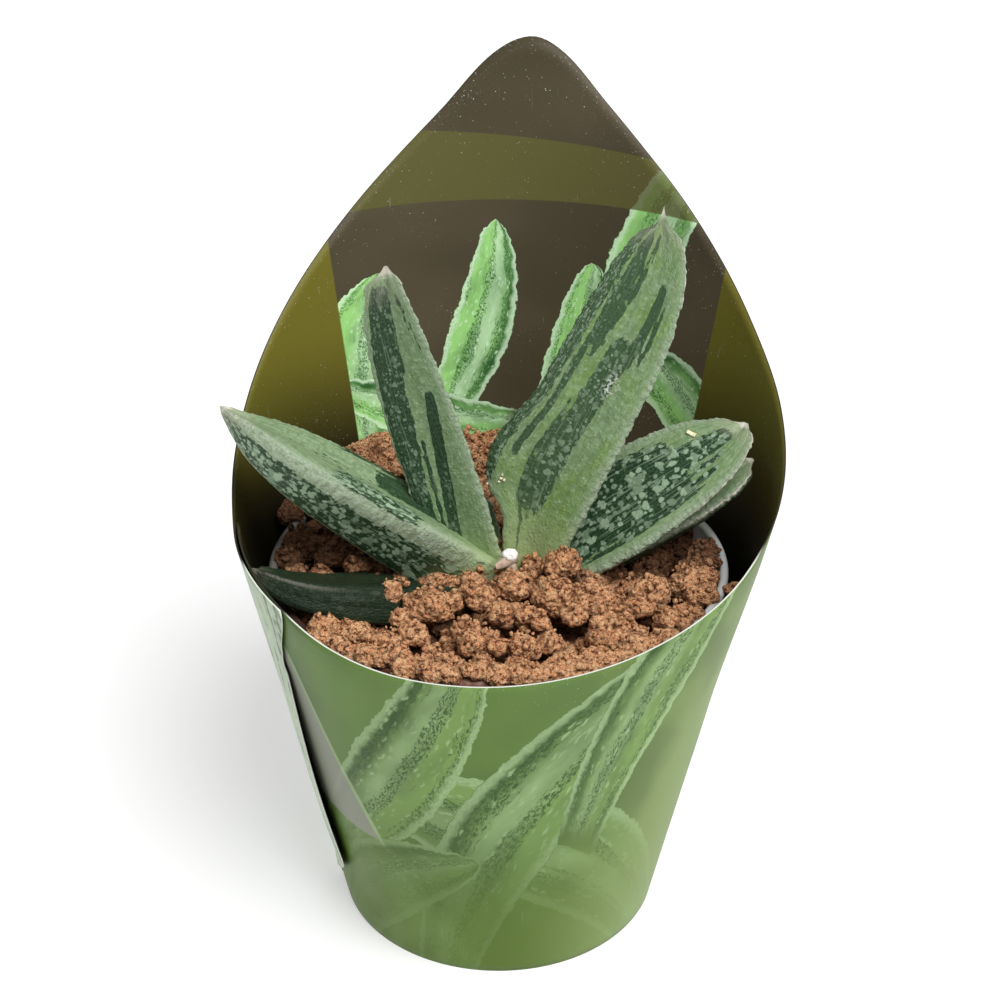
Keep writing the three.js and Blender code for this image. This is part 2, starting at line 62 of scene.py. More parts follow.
POT_HEIGHT = 89.5
POT_RIM_RADIUS = 52.5
POT_FOOT_RADIUS = 37.5
POT_WALL = 0.9
POT_TAPER = 0.15
POT_RIM_WIDTH = 2.1
POT_COLLAR_HEIGHT = 7.5
POT_COLLAR_STEP = 1.2
DRAIN_HOLES = 6
DRAIN_HOLE_RADIUS = 3.5
DRAIN_HOLE_CIRCLE = 26
POT_STEPS = 160

CARD = 0.6
SLEEVE_FOOT_RADIUS = 38.5
SLEEVE_TAPER = 0.208
SLEEVE_START = -84
SLEEVE_END = 302
LAP = CARD + 0.35
LAP_RAMP = 22
LAP_LOW = 4
LAP_HIGH = 16
FLAP_STAND = 1.6
FLAP_ANGLE = 16
NOTCH_SHARE = 0.8
NOTCH_ANGLE = 1.2
NOTCH_SPREAD = 0.025
TAB_ANGLE = 7
CORNER_ANGLE = 28
CORNER_SHARE = 0.2
CORNER_SPREAD = 60
SWELL_ANGLE, SWELL_SPREAD = 72, 26
SWELL_SLOPE = 1.2, 60, 100  # a slope is its rise, where it starts and where it ends

# The sleeve's top edge: degrees round from the front, height.
SLEEVE_EDGE = (
    (-84, 101.5), (-67, 99.6), (-48, 96), (-27, 92.3), (-8, 91.6), (12, 92.8), (32, 95.6),
    (54, 100.6), (68, 107), (80, 112.6), (98, 122.4), (120, 137), (147, 162.3),
    (159, 175.6), (168, 187), (174, 190.5), (181, 186.5), (191, 173.6), (203, 160.6),
    (223, 141), (247, 120), (263, 108.5), (276, 101.5), (293, 99.6), (310, 97),
)

SOIL_LEVEL = 88.6
SOIL_CROWN, SOIL_CROWN_SPREAD = 3.4, 24
SOIL_BACK, SOIL_FRONT, SOIL_RIGHT = (9.5, 8, 40), (2.8, 32, 46), (4, 10, POT_RIM_RADIUS)
CREVICE_DEPTH = 2.6
STEM_AT = (4, -2)

MARGIN_RISE = 0.16
SECTION_LIFT = 0.35
DEPTH_LOSS = 0.4
DEPTH_BLUNT = 0.8
UNTWISTED_AT = 0.3
STATION_SPREAD = 1.5
POINT_RADIUS = 0.6
POINT_FLARE = 2.2
POINT_FLARE_RUN = 1.5
GIRTH = 2.4  # way round a blade, in widths
SEAM_GAP = 0.004

# Each leaf's shape, and its markings. A band is (where round the blade it starts, where it
# ends, half width, from, to, strength): round the blade 0 is the left margin, 0.25 the
# middle of the upper face, 0.5 the right margin and 0.75 the keel; from and to are shares
# of the length. A pinch narrows the left half at its foot and a wing widens it above that.
KEEL_BAND = (0.75, 0.75, 0.2, 0.1, 0.85, 0.8)
KEEL_SPOTS = (0.75, 0.75, 0.22, 0.1, 0.9, 0.6)
USUAL_LEAF = dict(channel=0.1, blunt=0.42, blade_end=0.96, columns=120, warm=0, fade=0, fine=0,
                  edge=(0.5, 1), pale_patch=(0.25, -1), wing=0, pinch=0)
LEAVES = {
    "leaf_left_upright": dict(
        root=(0, -3, 83), tip=(-23.9, 5.3, 157.7), bow=(0.8, 0.7, 1.1),
        sway=(-0.6, 3.9, 0.6), face=(-0.2, -0.97, 0.1), twist=-12, width=17, depth=10,
        keel=-0.1, skew=0.45, base=0.76, filled=0.53, taper=3.8, blunt=0.35, blade_end=0.97,
        columns=112, rows=300, light=0.35, warm=0.05, fine=1, edge=(0.5, 0.4), seed=1,
        dark=(
            (0.13, 0.21, 0.064, 0.4, 0.95, 1.1), (0.1, 0.13, 0.05, 0.05, 0.42, 0.95),
            (0.15, 0.19, 0.008, 0.14, 0.45, 0.9), (0.18, 0.23, 0.008, 0.14, 0.5, 0.9),
            (0.2, 0.325, 0.024, 0.08, 0.62, 1.15), (0.24, 0.27, 0.012, 0.68, 0.92, 0.7),
            (0.37, 0.33, 0.02, 0.7, 0.95, 0.45), KEEL_BAND,
        ),
        spots=(
            (0.13, 0.21, 0.08, 0.3, 0.96, 0.62), (0.1, 0.13, 0.05, 0.05, 0.42, 0.4),
            (0.2, 0.3, 0.03, 0.08, 0.4, 0.5), KEEL_SPOTS,
        ),
    ),
    "leaf_right_tall": dict(
        root=(8, -4, 82.5), tip=(35.2, 8, 169.9), bow=(-11, 0.5, 2.8), sway=(8.5, -0.3, 0),
        face=(-0.38, -0.92, 0.05), twist=18, width=22.5, depth=9, channel=0.2, keel=0.2,
        skew=0.05, base=0.4, filled=0.33, taper=5, blade_end=0.945,
        rows=340, light=0.46, warm=1, fade=0.2, fine=1,
        pale_patch=(0.285, 0.56), wing=0.34, pinch=0.22, seed=2,
        dark=(
            (0.05, 0.1, 0.062, 0.24, 0.97, 0.88), (0.15, 0.175, 0.012, 0.3, 0.93, 0.8),
            (0.185, 0.2, 0.026, 0.6, 0.96, 0.72), (0.2, 0.26, 0.014, 0.68, 0.96, 0.6),
            (0.185, 0.2, 0.006, 0.1, 0.5, 0.8), (0.225, 0.265, 0.036, 0.2, 0.67, 1),
            (0.295, 0.32, 0.014, 0.6, 0.82, 1.1), (0.33, 0.345, 0.008, 0.62, 0.78, 0.9),
            KEEL_BAND,
        ),
        spots=(
            (0.05, 0.1, 0.09, 0.12, 0.98, 0.95), (0.23, 0.265, 0.05, 0.17, 0.7, 0.8),
            KEEL_SPOTS,
        ),
    ),
    "leaf_right_low": dict(
        root=(9, -1, 81), tip=(55.9, 7.2, 119.7), bow=(-2.7, 0, 4), sway=(5.2, -7, 3.2),
        face=(-0.48, -0.56, 0.68), twist=-4, width=27, depth=9, keel=0.3,
        skew=0.13, base=0.38, filled=0.47, taper=3.2, blade_end=0.97,
        rows=210, light=0.6, warm=0.5, seed=3,
        dark=(
            (0.23, 0.25, 0.105, 0.05, 0.68, 1.1), (0.23, 0.24, 0.042, 0.6, 0.92, 0.95),
            (0.33, 0.335, 0.012, 0.15, 0.8, 0.9), (0.365, 0.36, 0.007, 0.2, 0.72, 0.8),
            (0.3, 0.3, 0.009, 0.66, 0.86, 0.8), KEEL_BAND,
        ),
        spots=((0.24, 0.25, 0.13, 0.1, 0.9, 0.9), KEEL_SPOTS),
    ),
    "leaf_left_low": dict(
        root=(0, -5, 83), tip=(-60.5, -2.2, 128.2), bow=(-4.6, 0.3, 5), sway=(-4, -7.7, 2.6),
        face=(0.7, 0.07, 0.71), twist=5.6, width=22, depth=15, keel=-0.42,
        skew=-0.13, base=0.54, filled=0.67, taper=5.5, blunt=0.87, blade_end=0.98,
        rows=240, light=0.75, warm=0.15, fade=0.05, edge=(0.5, 0.2), seed=4,
        dark=(
            (0.86, 0.85, 0.075, 0.02, 0.97, 1), (0.1, 0.13, 0.1, 0.3, 0.6, 0.68),
            (0.3, 0.3, 0.06, 0.05, 0.45, 0.75), (0.24, 0.26, 0.03, 0.35, 0.8, 0.38),
            (0.4, 0.4, 0.05, 0.1, 0.6, 0.6), (0.62, 0.62, 0.1, 0.1, 0.85, 0.8),
        ),
        spots=(
            (0.86, 0.86, 0.1, 0.02, 0.98, 1), (0.11, 0.12, 0.12, 0.26, 0.62, 1),
            (0.62, 0.62, 0.12, 0.1, 0.9, 0.6),
        ),
    ),
    "leaf_right_under": dict(
        root=(10, 3, 79), tip=(58.4, 9.4, 109.6), bow=(-0.2, 0.2, 2.8), sway=(4, -1.2, 0.5),
        face=(-0.41, -0.29, 0.87), twist=1, width=19.5, depth=8, keel=0.47,
        skew=0.12, base=0.6, filled=0.5, taper=6, blunt=0.4,
        columns=80, rows=150, light=0.35, warm=0.4, fade=0.1, fine=0.7, seed=5,
        dark=((0.2, 0.2, 0.12, 0.1, 0.8, 0.8), (0.7, 0.7, 0.12, 0.1, 0.85, 0.9)),
        spots=((0.2, 0.2, 0.15, 0.1, 0.9, 0.7), (0.7, 0.7, 0.2, 0.1, 0.9, 0.6)),
    ),
    "leaf_left_ground": dict(
        root=(-4, -7, 80), tip=(-53.6, -19.4, 97.4), bow=(-3.2, -3.4, 4.6),
        sway=(-6, -4.4, -4), face=(0.12, 0.36, 0.92), twist=4, width=18.8, depth=9,
        keel=-0.9, skew=0.1, base=0.75, filled=0.5, taper=4.7, blunt=0.4,
        columns=88, rows=170, light=0.1, fine=0.5, edge=(0, 0.5), seed=6,
        dark=((0.2, 0.2, 0.28, 0, 0.99, 1.4), (0.8, 0.8, 0.28, 0, 0.99, 1.4)),
        spots=((0.2, 0.2, 0.2, 0.1, 0.9, 0.15), (0.85, 0.85, 0.2, 0.1, 0.95, 0.28)),
    ),
    "leaf_inner": dict(
        root=(2, 2, 82), tip=(-2.5, 6.5, 100.6), bow=(-2.4, -0.1, 0), sway=(-1.3, 0.4, -0.2),
        face=(-0.58, -0.79, 0.18), twist=0, width=9.7, depth=4, channel=0.3, keel=0.2,
        skew=0.14, base=0.65, filled=0.52, taper=3, blunt=0.5,
        columns=64, rows=90, light=0.9, warm=0.9, fade=0.3, fine=1,
        edge=(0.5, 0.5), seed=7,
        dark=((0.3, 0.3, 0.02, 0.2, 0.7, 0.8),), spots=((0.3, 0.3, 0.2, 0.2, 0.9, 0.3),),
    ),
}

# ---- colours


def colour(red, green, blue):
    """A colour given as it looks, 0 to 255, in the linear form that shaders take."""
    def linear(part):
        part /= 255
        return part / 12.92 if part <= 0.04045 else ((part + 0.055) / 1.055) ** 2.4
    return (linear(red), linear(green), linear(blue), 1.0)


LEAF_DARK = colour(48, 77, 45)
LEAF_DEEP = colour(25, 49, 29)
LEAF_SHADE = colour(14, 22, 7)
LEAF_MID = colour(92, 120, 78)
LEAF_LIGHT = colour(172, 188, 154)
LEAF_SPOT = colour(158, 182, 152)
LEAF_MARGIN = colour(172, 184, 166)
LEAF_WARM = colour(118, 146, 66)
LEAF_TIP = colour(192, 188, 168)
LEAF_POINT = colour(222, 216, 200)
LEAF_ROOT = colour(158, 176, 122)

SOIL_LIT = colour(254, 186, 136)
SOIL_MEAN = colour(246, 172, 122)
SOIL_CRUMB = colour(255, 212, 162)
SOIL_DEEP = colour(128, 74, 48)
SOIL_PIT_AND_SHADE = colour(62, 32, 22)
SOIL_SHADE = colour(70, 40, 30)

PRINT_BROWN = colour(84, 76, 58)
PRINT_BROWN_DIM = colour(70, 63, 46)
PRINT_BAND = colour(92, 90, 46)
PRINT_OLIVE = colour(108, 102, 36)
PRINT_OLIVE_SHADED = colour(30, 27, 14)
PRINT_LEAF = colour(156, 214, 126)
PRINT_LEAF_PALE = colour(212, 242, 204)
PRINT_LEAF_DARK = colour(48, 96, 46)
OUTSIDE_LOW = colour(82, 106, 36)
OUTSIDE_HIGH = colour(92, 118, 58)
OUTSIDE_RIGHT_PALE_AND_LIT = colour(122, 142, 82)
OUTSIDE_LEAF = colour(118, 148, 82)
OUTSIDE_LEAF_DARK = colour(48, 74, 36)
OUTSIDE_FLECK = colour(160, 186, 136)
OUTSIDE_GREY = colour(138, 140, 128)
OUTSIDE_MINT = colour(196, 210, 188)
CARD_WHITE = colour(226, 228, 220)
CARD_GREY, CARD_EDGE_SHADE = colour(214, 214, 204), colour(40, 36, 26)
POT_CLOUD, POT_CLEAR = colour(196, 200, 200), colour(222, 224, 222)
POT_RIM_SHADE = colour(92, 84, 78)
STEM_DARK, STEM_PALE = colour(110, 118, 62), colour(168, 166, 112)
CHALK_DULL, CHALK_CLEAN = colour(214, 212, 204), colour(248, 247, 242)
GRIT_DULL, GRIT_CLEAN = colour(186, 178, 148), colour(226, 218, 192)
STALK_DARK, STALK_PALE = colour(150, 112, 88), colour(224, 204, 186)
HUSK_DARK, HUSK_PALE = colour(214, 206, 158), colour(250, 246, 214)

# ---- shader building


def sums(operation, turned_round=False):
    """A method that adds the Math node of one operation."""
    def add_node(value, *terms):
        terms = (*terms, value) if turned_round else (value, *terms)
        sockets = dict(enumerate(terms))
        return value.finish.node("ShaderNodeMath", {"operation": operation}, sockets)
    return add_node


class Value:
    """One output of a shader node, which can be used in sums."""

    __add__ = __radd__ = sums("ADD")
    __sub__, __rsub__ = sums("SUBTRACT"), sums("SUBTRACT", True)
    __mul__ = __rmul__ = sums("MULTIPLY")
    __truediv__, __pow__, __abs__ = sums("DIVIDE"), sums("POWER"), sums("ABSOLUTE")
    least, most = sums("MINIMUM"), sums("MAXIMUM")
    wrapped, sine = sums("FLOORED_MODULO"), sums("SINE")

    def __init__(self, finish, node, output):
        self.finish = finish
        self.node = node
        self.socket = node.outputs[output] if node.outputs else None

    def other(self, output):
        return Value(self.finish, self.node, output)

    def rising(self, low, high):
        """0 below low, 1 above high, and smooth between."""
        settings = {"interpolation_type": "SMOOTHSTEP"}
        sockets = {0: self, 1: low, 2: high}
        return self.finish.node("ShaderNodeMapRange", settings, sockets)

    def falling(self, low, high):
        return 1 - self.rising(low, high)

    def window(self, low, high, soft):
        """1 between low and high."""
        return self.rising(low - soft, low + soft) * self.falling(high - soft, high + soft)


class Finish:
    """A material and its nodes."""

    def __init__(self, name):
        self.material = bpy.data.materials.new(name)
        self.material.use_nodes = True
        self.tree = self.material.node_tree
        self.tree.nodes.clear()

    def node(self, kind, settings=None, sockets=None, output=0):
        node = self.tree.nodes.new(kind)
        for name, value in (settings or {}).items():
            setattr(node, name, value)
        for name, value in (sockets or {}).items():
            if isinstance(value, Value):
                self.tree.links.new(value.socket, node.inputs[name])
            else:
                node.inputs[name].default_value = value
        return Value(self, node, output)

    def place(self):
        return self.node("ShaderNodeTexCoord", output="Object")

    def map(self, name):
        return self.node("ShaderNodeUVMap", {"uv_map": name})

    def attribute(self, name):
        return self.node("ShaderNodeAttribute", {"attribute_name": name}, output="Fac")

    def axes(self, vector):
        parts = self.node("ShaderNodeSeparateXYZ", sockets={0: vector})
        return parts, parts.other(1), parts.other(2)

    def point(self, x, y, z=0.0):
        return self.node("ShaderNodeCombineXYZ", sockets={0: x, 1: y, 2: z})

    def vector(self, operation, a, b):
        return self.node("ShaderNodeVectorMath", {"operation": operation}, {0: a, 1: b})

    def stretch(self, vector, x, y, z=1.0):
        return self.vector("MULTIPLY", vector, (x, y, z))

    def noise(self, vector, scale=1.0, detail=3.0, roughness=0.55, output=0):
        sockets = {"Vector": vector, "Scale": scale, "Detail": detail, "Roughness": roughness}
        return self.node("ShaderNodeTexNoise", sockets=sockets, output=output)

    def grained(self, vector, x, y, detail, roughness):
        """A noise with this many features a unit across and along."""
        return self.noise(self.stretch(vector, x, y), 1, detail, roughness)

    def cells(self, vector, scale=1.0):
        return self.node("ShaderNodeTexVoronoi", sockets={"Vector": vector, "Scale": scale})

    def warp(self, vector, amount, scale, detail=2.0):
        """The vector moved about by a noise."""
        swirl = self.noise(vector, scale, detail, output=1)
        centred = self.vector("SUBTRACT", swirl, (0.5, 0.5, 0.5))
        return self.vector("ADD", vector, self.stretch(centred, amount, amount, amount))

    def mix(self, share, a, b):
        sockets = {0: share, 6: a, 7: b}
        return self.node("ShaderNodeMix", {"data_type": "RGBA"}, sockets, output=2)

    def layered(self, base, *layers):
        """The base with layers over it, each a share and a colour."""
        for share, tint in layers:
            base = self.mix(share, base, tint)
        return base

    def bump(self, height, distance, strength=1.0):
        sockets = {"Strength": strength, "Distance": distance, "Height": height}
        return self.node("ShaderNodeBump", sockets=sockets)

    def surface(self, **sockets):
        named = {name.replace("_", " "): value for name, value in sockets.items()}
        shader = self.node("ShaderNodeBsdfPrincipled", sockets=named)
        self.node("ShaderNodeOutputMaterial", sockets={"Surface": shader})
        return self.material


# ---- mesh building

SAME_POINT = 0.001  # corners of a turned solid nearer than this, in millimetres, are one


def corners_of(mesh):
    corners = np.empty(len(mesh.vertices) * 3)
    mesh.vertices.foreach_get("co", corners)
    return corners.reshape(-1, 3)


def normals_of(mesh):
    normals = np.empty(len(mesh.vertices) * 3)
    mesh.vertices.foreach_get("normal", normals)
    return normals.reshape(-1, 3)


def set_corners(mesh, corners):
    mesh.vertices.foreach_set("co", np.asarray(corners, float).ravel())
    mesh.update()


def store(mesh, name, values):
    layer = mesh.attributes.new(name, "FLOAT", "POINT")
    layer.data.foreach_set("value", np.asarray(values, np.float32))


def stored(mesh, name):
    values = np.empty(len(mesh.vertices), np.float32)
    mesh.attributes[name].data.foreach_get("value", values)
    return values.astype(float)


def smoothstep(low, high, value):
    share = np.clip((np.asarray(value, float) - low) / (high - low), 0, 1)
    return share * share * (3 - 2 * share)


def slope(value, rise, start, end):
    return rise * smoothstep(start, end, value)


def rough(points, scale, seed=0.0):
    """A smooth noise from -1 to 1 at each point, with features scale millimetres wide."""
    shift = Vector((seed * 17.3, seed * 5.1, seed * 9.7))
    return np.array([noise.noise(Vector(p) / scale + shift) for p in points])


def mesh_of(name, shape):
    """A mesh of a finished bmesh, which is freed."""
    mesh = bpy.data.meshes.new(name)
    shape.to_mesh(mesh)
    shape.free()
    return mesh


def in_scene(name, data):
    thing = bpy.data.objects.new(name, data)
    bpy.context.scene.collection.objects.link(thing)
    return thing


def turned(profile, steps, unit=1):
    """A solid turned from its profile of radii and heights in millimetres."""
    solid = bmesh.new()
    corners = [solid.verts.new((radius * unit, 0, height * unit)) for radius, height in profile]
    edges = [solid.edges.new(pair) for pair in zip(corners, corners[1:])]
    bmesh.ops.spin(solid, geom=corners + edges, axis=(0, 0, 1), cent=(0, 0, 0),
                   steps=steps, angle=math.tau, use_merge=True)
    bmesh.ops.remove_doubles(solid, verts=solid.verts, dist=SAME_POINT * unit)
    bmesh.ops.recalc_face_normals(solid, faces=solid.faces)
    return solid


def new_piece(name, mesh, materials, replaced=None):
    """Shows a finished mesh as a piece of the object."""
    if isinstance(mesh, bmesh.types.BMesh):
        mesh = mesh_of(name, mesh)
    piece = in_scene(name, mesh)
    for material in materials:
        mesh.materials.append(material)
    for face in mesh.polygons:
        face.use_smooth = True
    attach(piece, "root")
    if replaced:
        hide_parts(replaced)
    return piece


def grid_sheet(name, columns, rows, layer):
    """A flat sheet of quads, one unit wide and long, with its map of where each corner was."""
    sheet = bmesh.new()
    sheet.loops.layers.uv.new(layer)
    bmesh.ops.create_grid(sheet, x_segments=columns, y_segments=rows, size=0.5, calc_uvs=True)
    return mesh_of(name, sheet)


def remap(mesh, change):
    """Passes the mesh's map through a function of two rows of numbers."""
    layer = mesh.uv_layers[0].uv
    flat = np.empty(len(layer) * 2, np.float32)
    layer.foreach_get("vector", flat)
    flat = flat.reshape(-1, 2)
    across, along = change(flat[:, 0].astype(float), flat[:, 1].astype(float))
    flat[:, 0], flat[:, 1] = across, along
    layer.foreach_set("vector", flat.ravel())


# ---- leaves


def leaf_section(leaf, round_share):
    """Across and up, in shares of the half width and the depth, at shares of the way round."""
    keel, channel = leaf["keel"], leaf["channel"]
    points = np.array([
        (-1, 0), (-0.78, MARGIN_RISE), (0, MARGIN_RISE - channel), (0.78, MARGIN_RISE),
        (1, 0), (1 + (keel - 1) / 2 + 0.12, -0.5), (keel, -1), (-1 + (keel + 1) / 2 - 0.12, -0.5),
    ])
    count = len(points)
    place = np.asarray(round_share) % 1 * count
    first = place.astype(int)
    t = (place - first)[:, None]
    p0, p1, p2, p3 = (points[(first + step) % count] for step in (-1, 0, 1, 2))
    curve = 2 * p1 + (p2 - p0) * t
    curve += (2 * p0 - 5 * p1 + 4 * p2 - p3) * t**2
    curve += (3 * p1 - p0 - 3 * p2 + p3) * t**3
    return curve / 2


def leaf_size(leaf, along):
    """Half width and depth of the blade, which ends in a short hard point."""
    end = leaf["blade_end"]
    fall = np.maximum(1 - np.minimum(along / end, 1) ** leaf["taper"], 0) ** leaf["blunt"]
    fill = np.sin(np.pi / 2 * np.minimum(along / leaf["filled"], 1))
    rise = leaf["base"] + (1 - leaf["base"]) * fill
    point = POINT_RADIUS * np.clip((1 - along) / (1 - end), 0, 1)
    length = math.dist(leaf["tip"], leaf["root"])
    flare = np.exp(-np.maximum(along - end, 0) * length / POINT_FLARE_RUN)
    flare *= POINT_FLARE * smoothstep(end - 0.08, end, along)
    half_width = np.hypot(leaf["width"] / 2 * fall * rise, point + flare)
    depth = leaf["depth"] * (1 - DEPTH_LOSS * along) * fall**DEPTH_BLUNT
    return half_width, np.hypot(depth, point + flare / 2)


def leaf_surface(leaf, round_share, along):
    """Points of the blade in millimetres."""
    root, tip = np.array(leaf["root"], float), np.array(leaf["tip"], float)
    low = root + (tip - root) / 3 + leaf["bow"]
    high = root + (tip - root) * 2 / 3 + leaf["sway"]
    u = along[:, None]
    v = 1 - u
    spine = v**3 * root + 3 * u * v**2 * low + 3 * u**2 * v * high + u**3 * tip
    tangent = v**2 * (low - root) + 2 * u * v * (high - low) + u**2 * (tip - high)
    tangent /= np.linalg.norm(tangent, axis=1, keepdims=True)
    face = np.array(leaf["face"], float) - (tangent @ leaf["face"])[:, None] * tangent
    face /= np.linalg.norm(face, axis=1, keepdims=True)
    side = np.cross(tangent, face)
    twist = np.radians(leaf["twist"] * (along - UNTWISTED_AT))[:, None]
    face, side = (face * np.cos(twist) + side * np.sin(twist),
                  side * np.cos(twist) - face * np.sin(twist))
    section = leaf_section(leaf, round_share)
    half_width, depth = leaf_size(leaf, along)
    wing = leaf["wing"] * smoothstep(0.16, 0.27, along) * (1 - smoothstep(0.3, 0.5, along))
    pinch = leaf["pinch"] * smoothstep(0.03, 0.1, along) * (1 - smoothstep(0.17, 0.24, along))
    wider = 1 + (wing - pinch) * (section[:, 0] < 0)
    across = (section[:, 0] * wider - leaf["skew"]) * half_width
    up = (section[:, 1] + SECTION_LIFT) * depth
    return spine + across[:, None] * side + up[:, None] * face


def banded(bands, round_share, along):
    """How strongly the bands cover each point of a blade."""
    cover = np.zeros(len(along))
    for first, last, half, start, end, strength in bands:
        centre = first + (last - first) * (along - start) / (end - start)
        off = np.abs((round_share - centre + 0.5) % 1 - 0.5) / half
        inside = 1 - smoothstep(0.5, 1.5, off)
        inside *= smoothstep(start - 0.05, start + 0.05, along)
        inside *= 1 - smoothstep(end - 0.05, end + 0.05, along)
        cover = np.maximum(cover, strength * inside)
    return cover


def leaf_mesh(name, leaf, length, girth):
    """The blade closed along its keel and over its root, without relief."""
    mesh = grid_sheet(name, leaf["columns"], leaf["rows"], "blade")
    flat = corners_of(mesh)
    round_share = flat[:, 0] + 0.25  # the seam runs down the keel
    along = 1 - (0.5 - flat[:, 1]) ** STATION_SPREAD
    store(mesh, "round", round_share % 1)
    store(mesh, "along", along)
    corners = leaf_surface(leaf, round_share, along)
    corners[along > 1 - 1e-6] = leaf["tip"]
    set_corners(mesh, corners)
    remap(mesh, lambda u, v: (u * girth + 61 * leaf["seed"],
                              (1 - np.clip(1 - v, 0, 1) ** STATION_SPREAD) * length))

    blade = bmesh.new()
    blade.from_mesh(mesh)
    bmesh.ops.remove_doubles(blade, verts=blade.verts, dist=SEAM_GAP)
    rim = [edge for edge in blade.edges if edge.is_boundary]
    bmesh.ops.contextual_create(blade, geom=rim)
    bmesh.ops.recalc_face_normals(blade, faces=blade.faces)
    blade.to_mesh(mesh)
    blade.free()
    return mesh


def make_leaf(name, leaf, skin):
    length = math.dist(leaf["tip"], leaf["root"])
    girth = GIRTH * leaf["width"]
    mesh = leaf_mesh(name, leaf, length, girth)
    round_share, along = stored(mesh, "round"), stored(mesh, "along")
    margin_off = np.minimum(np.minimum(round_share, 1 - round_share), abs(round_share - 0.5))
    margin = 1 - smoothstep(0.03, 0.14, margin_off)
    half_width, _ = leaf_size(leaf, along)
    fade = smoothstep(0.3, 4, half_width)
    corners = corners_of(mesh)
    seed = leaf["seed"]
    lengthwise = np.stack([round_share * girth / 1.3, along * length / 16, 0 * along], 1)
    crosswise = np.stack([margin_off * girth / 4, along * length / 0.85, seed + 0 * along], 1)
    crease = np.exp(-(((round_share - 0.27) / 0.035) ** 2)) * smoothstep(0.84, 0.95, along)
    relief = 0.22 * rough(corners, 7, seed) + 0.08 * rough(corners, 1.6, seed)
    relief += 0.09 * rough(lengthwise, 1, seed) * (1 - margin)
    relief += (0.34 * rough(crosswise, 1, seed) + 0.22 * rough(corners, 2.4, seed + 9)) * margin
    relief -= 0.7 * crease
    corners += normals_of(mesh) * (relief * fade)[:, None]
    set_corners(mesh, corners * MM)
    store(mesh, "dark", banded(leaf["dark"], round_share, along))
    store(mesh, "spotted", banded(leaf["spots"], round_share, along))
    store(mesh, "margin", margin)
    for quality in ("warm", "light", "fade", "fine"):
        store(mesh, quality, leaf[quality] + 0 * along)
    edge_at, edge_strength = leaf["edge"]
    edge_off = abs((round_share - edge_at + 0.5) % 1 - 0.5)
    edge_line = (1 - smoothstep(0.012, 0.034, edge_off)) * smoothstep(0.5, 0.78, along)
    round_tip = (1 - smoothstep(0.014, 0.04, margin_off)) * smoothstep(0.84, 0.92, along)
    store(mesh, "edge", edge_strength * np.maximum(edge_line, round_tip))
    patch_round, patch_along = leaf["pale_patch"]
    off = np.hypot((round_share - patch_round) / 0.03, (along - patch_along) / 0.045)
    store(mesh, "pale_patch", 1 - smoothstep(0.2, 1, off))
    return new_piece(name + "_blade", mesh, [skin], name)


